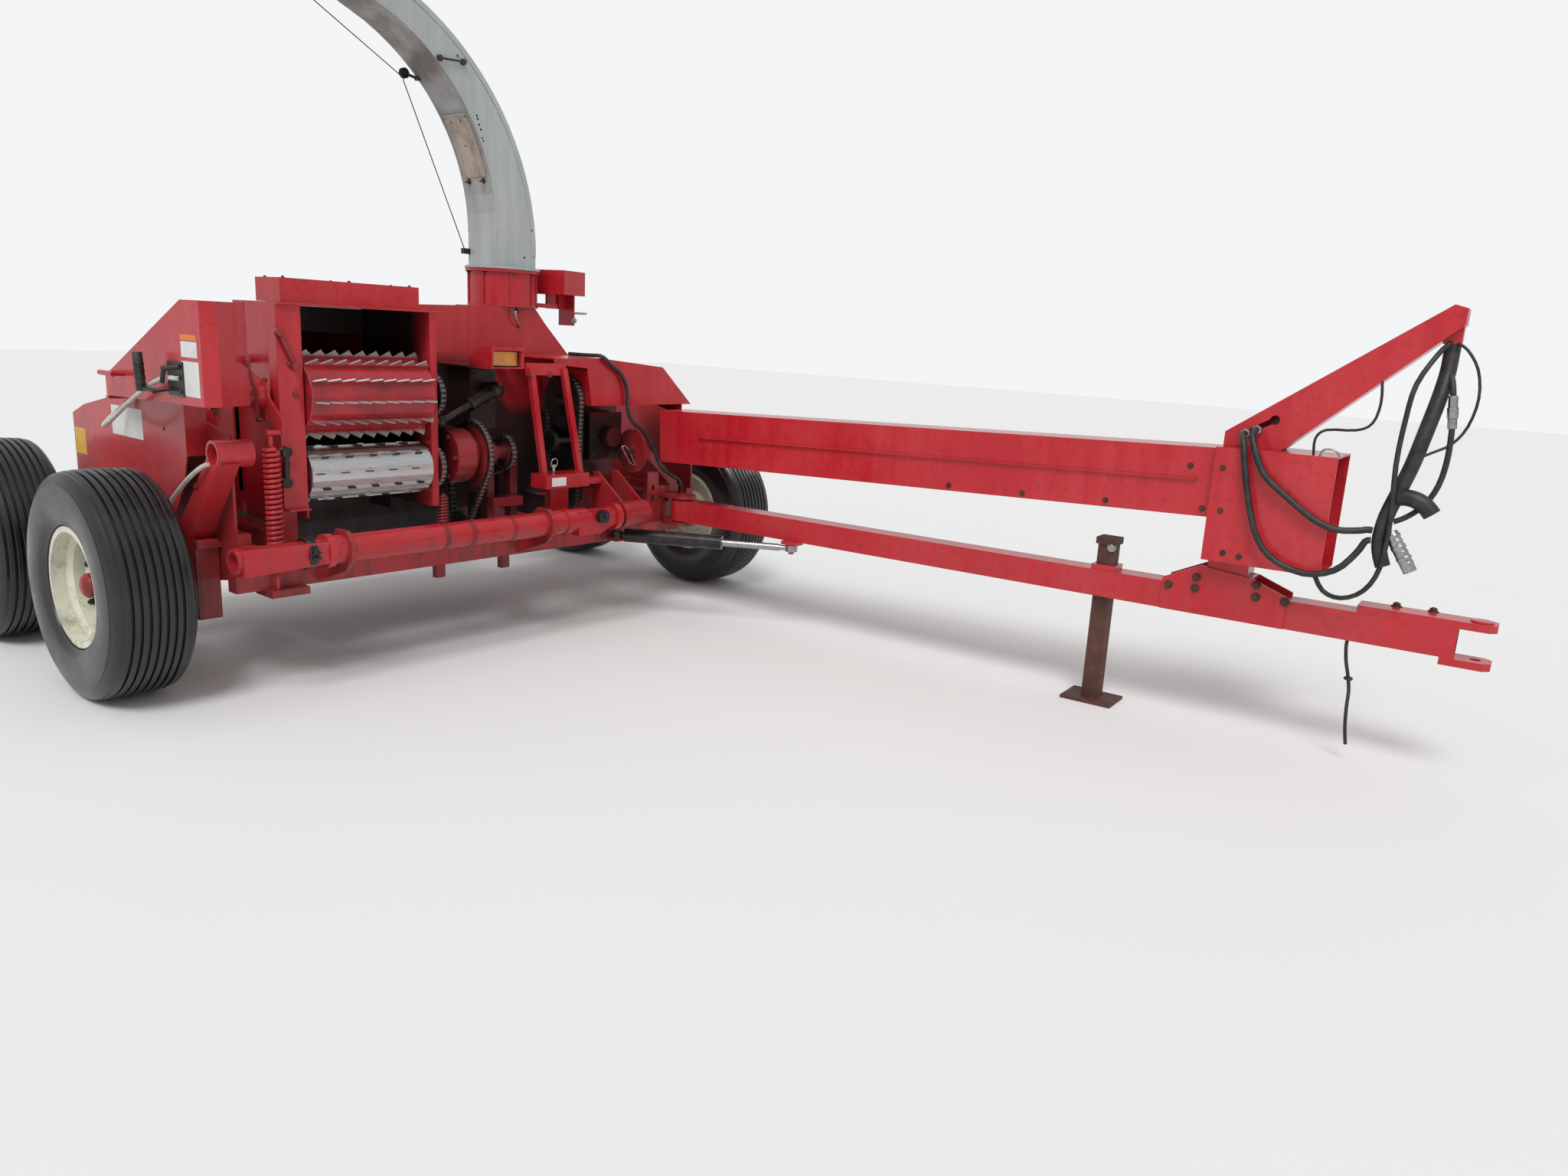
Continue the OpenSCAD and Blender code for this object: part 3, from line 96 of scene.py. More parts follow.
def makeCamera(facts):
    data = bpy.data.cameras.new("photoCamera")
    data.lens = facts["lens"]
    data.sensor_width = facts["sensor"]
    camera = bpy.data.objects.new("photoCamera", data)
    bpy.context.scene.collection.objects.link(camera)
    place, aim = at(*facts["place"]), at(*facts["aim"])
    look = (aim - place).to_track_quat("-Z", "Y").to_matrix().to_4x4()
    roll = Matrix.Rotation(math.radians(facts["roll"]), 4, "Z")
    camera.matrix_world = Matrix.Translation(place) @ look @ roll
    bpy.context.scene.camera = camera


makeCamera(cameraFacts)
print("camera ready")


# Small modelling helpers around Blender's own operators
def deselectAll():
    if bpy.context.object and bpy.context.object.mode != "OBJECT":
        bpy.ops.object.mode_set(mode="OBJECT")
    bpy.ops.object.select_all(action="DESELECT")


def pickOnly(piece):
    deselectAll()
    piece.select_set(True)
    bpy.context.view_layer.objects.active = piece


def editAll():
    bpy.ops.object.mode_set(mode="EDIT")
    bpy.ops.mesh.select_all(action="SELECT")


def named(name):
    piece = bpy.context.object
    piece.name = name
    piece.data.name = name
    return piece


def settle(piece):  # place, turn and size go into the mesh
    pickOnly(piece)
    bpy.ops.object.transform_apply(location=True, rotation=True, scale=True)
    return piece


def finishWith(piece, kind, **settings):
    pickOnly(piece)
    bpy.ops.object.modifier_add(type=kind)
    modifier = piece.modifiers[-1]
    for key, value in settings.items():
        setattr(modifier, key, value)
    bpy.ops.object.modifier_apply(modifier=modifier.name)
    return piece


def smooth(piece, degrees=35):
    pickOnly(piece)
    bpy.ops.object.shade_smooth_by_angle(angle=math.radians(degrees))
    return piece


def barBlock(name, low, high, edge=0.0015):
    low, high = Vector(low), Vector(high)
    deselectAll()
    bpy.ops.mesh.primitive_cube_add(size=1, location=(low + high) / 2)
    piece = named(name)
    piece.scale = high - low
    settle(piece)
    if edge:
        finishWith(piece, "BEVEL", width=edge, segments=2)
    return piece


def roundBar(name, start, end, radius, sides=24, edge=0.0):
    start, end = Vector(start), Vector(end)
    run = end - start
    deselectAll()
    bpy.ops.mesh.primitive_cylinder_add(vertices=sides, radius=radius, depth=run.length,
                                        location=(start + end) / 2)
    piece = named(name)
    piece.rotation_euler = run.to_track_quat("Z", "Y").to_euler()
    settle(piece)
    if edge:
        finishWith(piece, "BEVEL", width=edge, segments=2, limit_method="ANGLE",
                   angle_limit=math.radians(40))
    return smooth(piece)


def joined(name, pieces):
    deselectAll()
    for piece in pieces:
        piece.select_set(True)
    bpy.context.view_layer.objects.active = pieces[0]
    if len(pieces) > 1:
        bpy.ops.object.join()
    return named(name)


def copied(pattern, matrix):  # a copy with its own mesh, moved in its mesh
    twin = pattern.copy()
    twin.data = pattern.data.copy()
    bpy.context.scene.collection.objects.link(twin)
    twin.data.transform(matrix)
    return twin


def turnTo(direction):  # matrix that turns +z towards a direction
    return Vector(direction).to_track_quat("Z", "Y").to_matrix().to_4x4()


def flipOutward(piece):
    pickOnly(piece)
    editAll()
    bpy.ops.mesh.remove_doubles(threshold=0.00002)
    bpy.ops.mesh.normals_make_consistent(inside=False)
    bpy.ops.object.mode_set(mode="OBJECT")
    return piece


# Materials. A Wire is one value inside a material, and takes ordinary arithmetic.
class Wire:
    def __init__(self, finish, socket):
        self.finish, self.socket = finish, socket

    def maths(self, operation, *values):
        return self.finish.node("ShaderNodeMath", {"operation": operation}, dict(enumerate(values)))

    def __add__(self, other): return self.maths("ADD", self, other)
    def __radd__(self, other): return self.maths("ADD", other, self)
    def __sub__(self, other): return self.maths("SUBTRACT", self, other)
    def __rsub__(self, other): return self.maths("SUBTRACT", other, self)
    def __mul__(self, other): return self.maths("MULTIPLY", self, other)
    def most(self, other): return self.maths("MAXIMUM", self, other)
    def between(self, low, high):  # 0 at low, 1 at high, held inside
        sockets = {0: self, 1: low, 2: high, 3: 0.0, 4: 1.0}
        return self.finish.node("ShaderNodeMapRange", {"clamp": True}, sockets)


class Finish:
    def __init__(self, name):
        self.material = bpy.data.materials.new(name)
        self.material.use_nodes = True
        self.tree = self.material.node_tree
        self.tree.nodes.clear()
        self.place = self.node("ShaderNodeTexCoord", pick="Object")
        self.normal = self.node("ShaderNodeNewGeometry", pick="Normal")

    def node(self, kind, settings=None, sockets=None, pick=0):
        made = self.tree.nodes.new(kind)
        for key, value in (settings or {}).items():
            if key == "stops":
                ramp = made.color_ramp
                while len(ramp.elements) < len(value):
                    ramp.elements.new(0.5)
                for element, (spot, colour) in zip(ramp.elements, value):
                    element.position = spot
                    element.color = colour
            else:
                setattr(made, key, value)
        for key, value in (sockets or {}).items():
            socket = made.inputs[key]
            if isinstance(value, Wire):
                self.tree.links.new(value.socket, socket)
            elif isinstance(value, tuple) and len(value) == 3 and socket.type == "RGBA":
                socket.default_value = (*value, 1.0)
            else:
                socket.default_value = value
        return Wire(self, made.outputs[pick])

    def part(self, vector, axis):
        return self.node("ShaderNodeSeparateXYZ", None, {0: vector}, pick=axis)

    def moved(self, size, turn=(0, 0, 0)):
        sockets = {"Vector": self.place, "Scale": size, "Rotation": turn}
        return self.node("ShaderNodeMapping", None, sockets)

    def noise(self, scale, detail=4.0, rough=0.55, vector=None, warp=0.0):
        return self.node("ShaderNodeTexNoise", None, {"Vector": vector or self.place, "Scale": scale,
                         "Detail": detail, "Roughness": rough, "Distortion": warp})

    def patches(self, scale, low, high):
        return self.noise(scale, 6, 0.7).between(low, high)

    def spots(self, scale):
        return self.node("ShaderNodeTexVoronoi", None, {"Vector": self.place, "Scale": scale})

    def waves(self, way, scale):
        settings = {"wave_type": "BANDS", "bands_direction": way}
        return self.node("ShaderNodeTexWave", settings, {"Vector": self.place, "Scale": scale})

    def vector(self, operation, first, second=None, pick=0):
        sockets = {0: first} if second is None else {0: first, 1: second}
        return self.node("ShaderNodeVectorMath", {"operation": operation}, sockets, pick=pick)

    def mix(self, amount, low, high):  # of two colours
        return self.node("ShaderNodeMix", {"data_type": "RGBA"}, {0: amount, 6: low, 7: high}, pick=2)

    def ramp(self, value, *stops):
        return self.node("ShaderNodeValToRGB", {"stops": [(s, (*c, 1.0)) for s, c in stops]}, {0: value})

    def edges(self, radius, low=0.03, high=0.25):  # 1 on convex and concave edges
        soft = self.node("ShaderNodeBevel", {"samples": 4}, {"Radius": radius})
        return (1 - self.vector("DOT_PRODUCT", soft, self.normal, "Value")).between(low, high)

    def bump(self, height, strength=0.3, distance=0.002, over=None):
        sockets = {"Height": height, "Strength": strength, "Distance": distance}
        if over:
            sockets["Normal"] = over
        return self.node("ShaderNodeBump", None, sockets)

    def surface(self, colour, rough, bump=None, coat=(0.0, 0.03), metal=0.0, shine=0.5):
        sockets = {"Base Color": colour, "Roughness": rough, "Metallic": metal, "Coat Weight": coat[0],
                   "Coat Roughness": coat[1], "Specular IOR Level": shine}
        if bump:
            sockets["Normal"] = bump
        shader = self.node("ShaderNodeBsdfPrincipled", None, sockets)
        end = self.tree.nodes.new("ShaderNodeOutputMaterial")
        self.tree.links.new(shader.socket, end.inputs["Surface"])
        return self.material


# Colours are linear
paintFacts = {
    "redDeep": (0.19, 0.005, 0.009),
    "primer": (0.10, 0.045, 0.03),
    "rust": (0.16, 0.055, 0.022),
    "grime": (0.035, 0.026, 0.02),
    "mud": (0.10, 0.072, 0.045),
}
redFacts = {  # name, fresh and faded colour, then dirt, chips and gloss, each from 0 to 1
    "red": ("wornRed", (0.43, 0.008, 0.017), (0.52, 0.034, 0.042), 0.45, 0.5, 0.8),
    "brightRed": ("cleanRed", (0.50, 0.010, 0.020), (0.58, 0.042, 0.050), 0.22, 0.25, 1.0),
    "darkRed": ("dirtyRed", (0.24, 0.008, 0.013), (0.32, 0.028, 0.03), 0.85, 0.9, 0.3),
    "frameRed": ("frameRed", (0.34, 0.008, 0.015), (0.42, 0.03, 0.034), 0.75, 0.8, 0.4),
}


def soot(f):  # 1 in the machine's heart behind its front plane, darkened by grease and painted shade, 0 on its outside
    x, y, z = (f.part(f.place, i) for i in range(3))
    x = x - pivotLine
    throat = (1 - y.between(-0.379, -0.374)) * x.between(0.290, 0.299)
    top = 1.19 + throat * 0.26 - y.between(0.05, 0.25) * 0.21
    inside = x.between(-0.25, -0.15) * (1 - x.between(0.655, 0.790))
    inside = inside * y.between(-0.899, -0.896) * (1 - y.between(0.74, 0.92))
    inside = inside * (1 - y.between(0.24, 0.34)).most(x.between(0.36, 0.44))
    return inside * (1 - (z - top).between(-0.06, 0.01)) * (1 - z.between(1.3525, 1.356))


def makeRed(name, base, faded, dirt, chips, wet):
    f = Finish(name)
    height = f.part(f.place, 2)
    up = f.part(f.normal, 2)
    cloud = f.noise(1.7, 5, 0.6)
    streak = f.noise(3.0, 6, 0.6, f.moved(size=(7, 7, 0.55)))
    colour = f.mix((cloud * 0.6 + streak * 0.4).between(0.40, 0.66), base, faded)
    colour = f.mix(f.noise(38, 3).between(0.52, 0.78) * 0.35, colour, paintFacts["redDeep"])
    # dust that rain has washed into runs, thicker low down
    low = 1 - height.between(0.25, 1.1)
    runs = (streak * (0.55 + low * 0.8)).between(0.44, 0.86) * dirt
    colour = f.mix(runs, colour, paintFacts["grime"])
    # chipped edges and stray chips, rust under them
    edge = f.edges(0.006)
    stray = f.noise(5.5, 8, 0.75).between(0.645, 0.675) * chips
    worn = (edge * f.patches(14, 0.40, 0.58)).most(stray)
    bare = f.mix(f.noise(60, 3).between(0.4, 0.6), paintFacts["primer"], paintFacts["rust"])
    colour = f.mix(worn * (0.35 + chips * 0.6), colour, bare)
    # fine scratches
    scratch = f.noise(9, 2, 0.5, f.moved(size=(30, 3, 3), turn=(0.3, 0.5, 0.2))).between(0.70, 0.74)
    colour = f.mix(scratch * 0.25, colour, faded)
    # grease and painted shade inside the machine, darkened nearly to black
    black = soot(f) * (0.80 + cloud * 0.3)
    colour = f.mix(black, colour, (0.010, 0.008, 0.007))
    rough = 0.30 - 0.10 * wet + cloud * 0.16 + runs * 0.4 + worn * 0.45
    rough = rough - up.between(0.5, 1.0) * 0.10 * wet + black * 0.15
    drops = f.spots(150).between(0.0, 0.35)
    bump = f.bump(f.noise(24, 3) * 0.6 + worn * -0.5, 0.22, 0.0012)
    bump = f.bump(drops, 0.10 * wet, 0.0006, bump)
    return f.surface(colour, rough, bump, (0.26 - worn * 0.2, 0.12), shine=0.34)


def makeSpoutGrey():
    f = Finish("spoutGrey")
    up = f.part(f.normal, 2)
    cloud = f.noise(2.2, 6, 0.6)
    streak = f.noise(2.5, 5, 0.6, f.moved(size=(8, 8, 0.7)))
    blend = (cloud * 0.5 + streak * 0.5).between(0.35, 0.7)
    colour = f.mix(blend, (0.31, 0.35, 0.345), (0.46, 0.49, 0.48))
    # downward faces darkened brown: partly a real stain, partly painted shade
    under = (0 - up).between(0.08, 0.62)
    stainAndShade = under * f.noise(6, 5).between(0.25, 0.6)
    colour = f.mix(stainAndShade * 0.85, colour, (0.115, 0.085, 0.07))
    specks = f.noise(70, 4, 0.7).between(0.66, 0.72)
    colour = f.mix(specks * 0.5, colour, (0.12, 0.07, 0.04))
    worn = f.edges(0.005) * f.patches(11, 0.46, 0.6)
    colour = f.mix(worn * 0.8, colour, (0.17, 0.075, 0.035))
    rough = 0.42 + cloud * 0.15 + worn * 0.3 + stainAndShade * 0.15
    bump = f.bump(f.noise(30, 3) + worn * -0.6, 0.18, 0.001)
    return f.surface(colour, rough, bump, (0.2, 0.25))


def makeDoorTan():
    f = Finish("doorTan")
    cloud = f.noise(9, 6, 0.65, f.moved(size=(1.6, 1, 0.45)))
    colour = f.ramp(cloud, (0.30, (0.27, 0.20, 0.14)), (0.50, (0.45, 0.40, 0.33)),
                    (0.72, (0.54, 0.51, 0.45)))
    rust = f.patches(16, 0.60, 0.72)
    colour = f.mix(rust * 0.8, colour, (0.19, 0.075, 0.03))
    edge = f.edges(0.006)
    colour = f.mix(edge * 0.8, colour, (0.06, 0.035, 0.025))
    bump = f.bump(cloud + rust * 0.5, 0.25, 0.001)
    return f.surface(colour, 0.55 + rust * 0.25, bump)


def makeCream():
    f = Finish("rimCream")
    cloud = f.noise(7, 6, 0.6)
    colour = f.mix(cloud.between(0.35, 0.7), (0.60, 0.59, 0.46), (0.72, 0.72, 0.60))
    mud = (f.noise(11, 7, 0.7) + (1 - f.part(f.place, 2).between(0.1, 0.8)) * 0.12).between(0.58, 0.74)
    colour = f.mix(mud * 0.55, colour, paintFacts["mud"])
    worn = f.edges(0.004) * f.noise(26, 5, 0.7).between(0.42, 0.56)
    colour = f.mix(worn, colour, paintFacts["rust"])
    bump = f.bump(f.noise(45, 3) + mud * 0.8, 0.25, 0.0012)
    return f.surface(colour, 0.42 + mud * 0.35, bump, (0.2, 0.3))


def makeTyreRubber():
    f = Finish("tyreRubber")
    cloud = f.noise(5, 6, 0.65)
    fine = f.noise(80, 4, 0.6)
    colour = f.mix(cloud.between(0.35, 0.7), (0.005, 0.005, 0.006), (0.014, 0.014, 0.015))
    mud = f.noise(7, 7, 0.72, warp=0.4).between(0.64, 0.80)
    colour = f.mix(mud * 0.5, colour, (0.060, 0.046, 0.032))
    rough = 0.20 + cloud.between(0.35, 0.70) * 0.30 + mud * 0.4
    bump = f.bump(fine * 0.4 + cloud * 0.6, 0.35, 0.0015)
    return f.surface(colour, rough, bump, (0.25, 0.3))


def makeHoseRubber():
    f = Finish("hoseRubber")
    cloud = f.noise(22, 4)
    colour = f.mix(cloud.between(0.4, 0.7), (0.012, 0.012, 0.012), (0.04, 0.038, 0.036))
    return f.surface(colour, 0.36 + cloud * 0.25, f.bump(f.noise(140, 3), 0.3, 0.0006))


def makeGreasySteel(name):
    f = Finish(name)
    cloud = f.noise(16, 6, 0.65)
    colour = f.mix(cloud.between(0.38, 0.66), (0.010, 0.009, 0.009), (0.050, 0.038, 0.030))
    rust = f.patches(28, 0.62, 0.72)
    colour = f.mix(rust * 0.5, colour, paintFacts["rust"])
    # pale edges: a painted highlight standing in for glints on the steel
    shine = f.edges(0.002, 0.02, 0.2)
    colour = f.mix(shine * 0.5, colour, (0.32, 0.31, 0.30))
    rough = 0.28 + cloud * 0.3 + rust * 0.3
    return f.surface(colour, rough, f.bump(cloud, 0.4, 0.0015), (0.3, 0.2), metal=0.55)


def makeBareSteel(name, tone, rustiness, depth=0.62):
    f = Finish(name)
    brushed = f.noise(10, 5, 0.6, f.moved(size=(14, 1.2, 14)))
    colour = f.mix(brushed.between(0.35, 0.7), (tone * depth,) * 3, (tone,) * 3)
    rust = f.noise(12, 7, 0.7).between(0.58, 0.70) * rustiness
    colour = f.mix(rust, colour, (0.16, 0.075, 0.035))
    rough = 0.24 + brushed * 0.22 + rust * 0.5
    return f.surface(colour, rough, f.bump(brushed, 0.15, 0.0006), metal=1 - rust)


def makeUpperRoll():  # red drum whose saw teeth are worn to bright metal at their tips
    f = Finish("toothedRoll")
    axis = middleOf("upper_feed_roll")
    flat = f.vector("MULTIPLY", f.vector("SUBTRACT", f.place, (axis.x, 0, axis.z)), (1, 0, 1))
    reach = f.vector("LENGTH", flat, pick="Value")
    cloud = f.noise(6, 6, 0.65)
    colour = f.mix(cloud.between(0.35, 0.7), (0.33, 0.012, 0.02), (0.52, 0.02, 0.03))
    grime = f.noise(20, 6, 0.7, f.moved(size=(1, 0.4, 1))).between(0.45, 0.75)
    colour = f.mix(grime * 0.55, colour, paintFacts["grime"])
    bare = (reach + (f.noise(30, 5, 0.7) - 0.5) * 0.012).between(0.142, 0.150)
    colour = f.mix(bare, colour, (0.40, 0.39, 0.37))
    edge = f.edges(0.004) * f.noise(30, 5, 0.7).between(0.35, 0.55)
    colour = f.mix(edge * 0.7, colour, (0.45, 0.42, 0.40))
    rough = 0.30 + cloud * 0.2 + grime * 0.2
    bump = f.bump(f.noise(40, 4), 0.3, 0.001)
    return f.surface(colour, rough, bump, ((1 - bare) * 0.35, 0.15), metal=bare * 0.9)


def makeRustyPost():
    f = Finish("rustyPost")
    cloud = f.noise(8, 7, 0.7)
    colour = f.ramp(cloud, (0.30, (0.028, 0.014, 0.012)), (0.50, (0.085, 0.035, 0.025)),
                    (0.72, (0.16, 0.065, 0.035)))
    return f.surface(colour, 0.55 + cloud * 0.25, f.bump(f.noise(50, 5, 0.7), 0.5, 0.0015), metal=0.2)


def makeAmber():
    f = Finish("amberLens")
    ribs = f.waves("Y", 30.0)
    colour = f.mix(f.noise(20, 4).between(0.35, 0.7), (0.62, 0.20, 0.008), (0.80, 0.33, 0.02))
    return f.surface(colour, 0.14 + ribs * 0.1, f.bump(ribs, 0.5, 0.0015), (0.8, 0.05))


def makeRope():
    f = Finish("ropeWhite")
    twist = f.waves("DIAGONAL", 55.0)
    colour = f.mix(f.noise(26, 5).between(0.4, 0.75), (0.72, 0.70, 0.64), (0.42, 0.38, 0.30))
    colour = f.mix(twist * 0.35, colour, (0.30, 0.27, 0.22))
    return f.surface(colour, 0.75, f.bump(twist, 0.6, 0.0012))


def makeBlankLabel(name, base):
    f = Finish(name)
    cloud = f.noise(14, 6, 0.65)
    colour = f.mix(cloud.between(0.45, 0.75) * 0.35, base, tuple(c * 0.55 for c in base))
    edge = f.edges(0.003)
    colour = f.mix(edge * 0.5, colour, (0.25, 0.2, 0.16))
    return f.surface(colour, 0.35 + cloud * 0.2, f.bump(cloud, 0.1, 0.0005))


finishes = {name: makeRed(*facts) for name, facts in redFacts.items()}
finishes.update({
    "grey": makeSpoutGrey(),
    "tan": makeDoorTan(),
    "cream": makeCream(),
    "tyre": makeTyreRubber(),
    "hose": makeHoseRubber(),
    "greasy": makeGreasySteel("greasySteel"),
    "chain": makeGreasySteel("chainPlates"),
    "pin": makeBareSteel("chainPins", 0.26, 0.6),
    "steel": makeBareSteel("bareSteel", 0.50, 0.3),
    "rollSteel": makeBareSteel("rollSteel", 0.66, 0.15, 0.84),
    "toothed": makeUpperRoll(),
    "rusty": makeRustyPost(),
    "amber": makeAmber(),
    "rope": makeRope(),
    "whiteLabel": makeBlankLabel("whiteLabel", (0.72, 0.72, 0.70)),
    "yellowLabel": makeBlankLabel("yellowLabel", (0.80, 0.45, 0.04)),
    "orangeLabel": makeBlankLabel("orangeLabel", (0.72, 0.20, 0.03)),
})

nodeFinish = {  # nodes that start with one of these names; the rest are worn red
    "frameRed": ["chassis_frame", "axle_beam", "tandem_beam", "cutterhead_housing", "auger_housing",
                 "cutter_belt_shield"],
    "darkRed": ["slip_clutch_shaft", "feed_gearbox", "main_gearbox", "hand_wheel", "roll_spring_left"],
    "brightRed": ["drawbar", "driveline_shield", "driveline_box", "hose_mast"],
    "greasy": ["feed_chain_drive", "tall_chain_drive", "telescopic_shaft", "shield_lever",
               "swing_cylinder_barrel"],
    "hose": ["hydraulic_hoses", "lower_hose", "hose_sleeve", "drive_hose"],
    "rope": ["white_rope", "socket_rope"],
    "grey": ["discharge_spout", "spout_deflector"],
    "tan": ["spout_door"],
    "toothed": ["upper_feed_roll"],
    "rollSteel": ["lower_feed_roll"],
    "steel": ["swing_cylinder_rod"],
    "rusty": ["parking_stand"],
    "amber": ["amber_lamp"],
    "tyre": ["tyre"],
    "cream": ["wheel_rim"],
}


def dress(piece, finish):
    piece.data.materials.clear()
    piece.data.materials.append(finishes[finish])


for nodeName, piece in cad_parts.items():
    kinds = [kind for kind, names in nodeFinish.items() if nodeName.startswith(tuple(names))]
    dress(piece, kinds[0] if kinds else "red")
print("finishes on all nodes")


# Ropes and hoses. Their routes are the part's own, here in metres.
def smoothRoute(points, times=3):
    route = [Vector(p) for p in points]
    out = []
    for i in range(len(route) - 1):
        a, b, c, d = route[max(i - 1, 0)], route[i], route[i + 1], route[min(i + 2, len(route) - 1)]
        square, cube = 2 * a - 5 * b + 4 * c - d, 3 * b - a - 3 * c + d
        for t in (k / times for k in range(times)):
            out.append((2 * b + (c - a) * t + square * t * t + cube * t ** 3) / 2)
    return out + [route[-1]]


def tubeAlong(name, route, radius, sides=3):
    data = bpy.data.curves.new(name, "CURVE")
    data.dimensions = "3D"
    data.bevel_depth = radius
    data.bevel_resolution = sides
    data.use_fill_caps = True
    spline = data.splines.new("POLY")
    spline.points.add(len(route) - 1)
    for point, place in zip(spline.points, route):
        point.co = (*place, 1)
    spline.use_smooth = True
    piece = bpy.data.objects.new(name, data)
    bpy.context.scene.collection.objects.link(piece)
    return piece


def rodAlong(name, route, radius, finish, sides=3):  # a bent rod, pipe or wire, made a mesh
    piece = tubeAlong(name, route, radius, sides)
    pickOnly(piece)
    bpy.ops.object.convert(target="MESH")
    dress(piece, finish)
    return piece


def fittingAt(name, start, end, radius, finish, body, sides=6):  # hexagon nut or ferrule on a hose
    piece = roundBar(name, start, end, radius, sides, radius * 0.08)
    dress(piece, finish)
    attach(piece, body)
    return piece


def freeCord(name, facts, spot):
    route = smoothRoute([spot(*p) for p in facts["route"]], facts.get("steps", 3))
    piece = tubeAlong(name, route, facts["radius"])
    piece.data.materials.append(finishes[facts["finish"]])
    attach(piece, facts["body"])
    if "node" in facts:
        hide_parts(facts["node"])
    run = sum((b - a).length for a, b in zip(route, route[1:]))


# The tongue's hoses: along, left, up in the tongue's own frame
hoseFacts = {
    "pressureHose": {"node": "hydraulic_hoses", "radius": 0.011, "stiffness": "stiff", "route": [
        (2.578, -0.0504, 1.090), (2.579, -0.110, 1.087), (2.596, -0.150, 1.051), (2.620, -0.160, 0.946),
        (2.668, -0.165, 0.783), (2.733, -0.168, 0.691), (2.844, -0.165, 0.650), (2.936, -0.155, 0.674),
        (2.988, -0.134, 0.736), (3.008, -0.122, 0.778), (3.0238, -0.119, 0.784)]},
    "returnHose": {"node": "lower_hose", "radius": 0.011, "stiffness": "stiff", "route": [
        (2.614, -0.0504, 1.105), (2.614, -0.104, 1.103), (2.622, -0.140, 1.068), (2.674, -0.155, 0.965),
        (2.760, -0.158, 0.895), (2.847, -0.155, 0.834), (2.917, -0.148, 0.808), (2.984, -0.130, 0.812),
        (3.006, -0.120, 0.817), (3.0226, -0.119, 0.817)]},
    "hoseSleeve": {"node": "hose_sleeve", "radius": 0.024, "end": "plug", "stiffness": "stiff", "route": [
        (3.146, 0, 1.4197), (3.146, -0.002, 1.390), (3.146, -0.018, 1.330), (3.138, -0.052, 1.250),
        (3.122, -0.084, 1.150), (3.102, -0.105, 1.040), (3.078, -0.113, 0.950), (3.056, -0.117, 0.870),
        (3.048, -0.119, 0.800), (3.054, -0.119, 0.750), (3.070, -0.118, 0.705)]},
    "thinHose": {"radius": 0.008, "stiffness": "medium", "route": [
        (3.140, -0.030, 1.424), (3.115, -0.080, 1.385), (3.075, -0.125, 1.290), (3.064, -0.143, 1.180),
        (3.060, -0.146, 1.037), (3.072, -0.148, 0.860), (3.066, -0.145, 0.705), (3.030, -0.140, 0.619),
        (2.966, -0.128, 0.580), (2.905, -0.110, 0.592), (2.866, -0.098, 0.648)]},
    "coupledHose": {"radius": 0.009, "stiffness": "stiff", "route": [
        (3.146, -0.018, 1.345), (3.166, -0.046, 1.305), (3.178, -0.062, 1.248), (3.184, -0.064, 1.200),
        (3.190, -0.064, 1.146), (3.192, -0.066, 1.060), (3.182, -0.074, 0.980), (3.154, -0.088, 0.914),
        (3.112, -0.104, 0.872), (3.078, -0.113, 0.852)]},
    "lampWire": {"radius": 0.0045, "route": [
        (2.968, -0.044, 1.302), (2.978, -0.060, 1.225), (2.964, -0.062, 1.158), (2.920, -0.062, 1.131),
        (2.830, -0.060, 1.124), (2.800, -0.058, 1.092), (2.802, -0.056, 1.038)]},
    "wireLoop": {"radius": 0.0045, "route": [
        (3.158, -0.020, 1.424), (3.190, -0.030, 1.404), (3.228, -0.034, 1.345), (3.244, -0.036, 1.259),
        (3.230, -0.044, 1.170), (3.196, -0.060, 1.112), (3.150, -0.082, 1.082), (3.112, -0.098, 1.060)]},
    "barCord": {"radius": 0.006, "end": "knot", "route": [
        (2.996, -0.030, 0.4245), (2.996, -0.034, 0.398), (3.004, -0.040, 0.350), (3.018, -0.044, 0.300),
        (3.028, -0.046, 0.250), (3.030, -0.047, 0.190), (3.036, -0.047, 0.120), (3.046, -0.046, 0.060)]},
}
for facts in hoseFacts.values():
    facts.update(finish="hose", body="tongue")

# What hangs on the hoses' ends: nuts, a coupling in three steps, a plug of rings in an elbow boot
nuts = {}
for name, (along, up) in {"pressureHose": (2.578, 1.090), "returnHose": (2.614, 1.105)}.items():
    ends = onTongue(along, -0.0496, up), onTongue(along, -0.078, up)
    nuts[name] = [fittingAt(name + "Nut", *ends, 0.017, "steel", "tongue")]

# top, foot and radius of each step
couplingSteps = [(1.262, 1.226, 0.014), (1.226, 1.192, 0.0165), (1.192, 1.160, 0.014)]
nuts["coupledHose"] = []
for i, (top, foot, radius) in enumerate(couplingSteps):
    ends = [onTongue(3.1765 + (1.262 - up) * 0.12, -0.063, up) for up in (top, foot)]
    nuts["coupledHose"].append(fittingAt("quickCoupling" + str(i), *ends, radius, "steel", "tongue"))

bootRoute = [(3.074, -0.116, 0.930), (3.102, -0.119, 0.935), (3.132, -0.121, 0.930),
             (3.160, -0.121, 0.914), (3.182, -0.120, 0.890)]
boot = rodAlong("elbowBoot", smoothRoute([onTongue(*p) for p in bootRoute]), 0.027, "hose", 5)
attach(boot, "tongue")
rings = []
for i in range(6):
    ends = [onTongue(3.082 + i * 0.0105 + run, -0.128, 0.812 - i * 0.0165 - drop)
            for run, drop in ((0, 0), (0.0065, 0.0102))]
    rings.append(fittingAt("plugRing" + str(i), *ends, 0.0235 - 0.0018 * (i % 2), "steel", "tongue", 20))
core = fittingAt("plugCore", onTongue(3.076, -0.127, 0.820), onTongue(3.152, -0.128, 0.700), 0.0212,
                 "steel", "tongue", 20)
nuts["hoseSleeve"] = [boot, core] + rings
deselectAll()
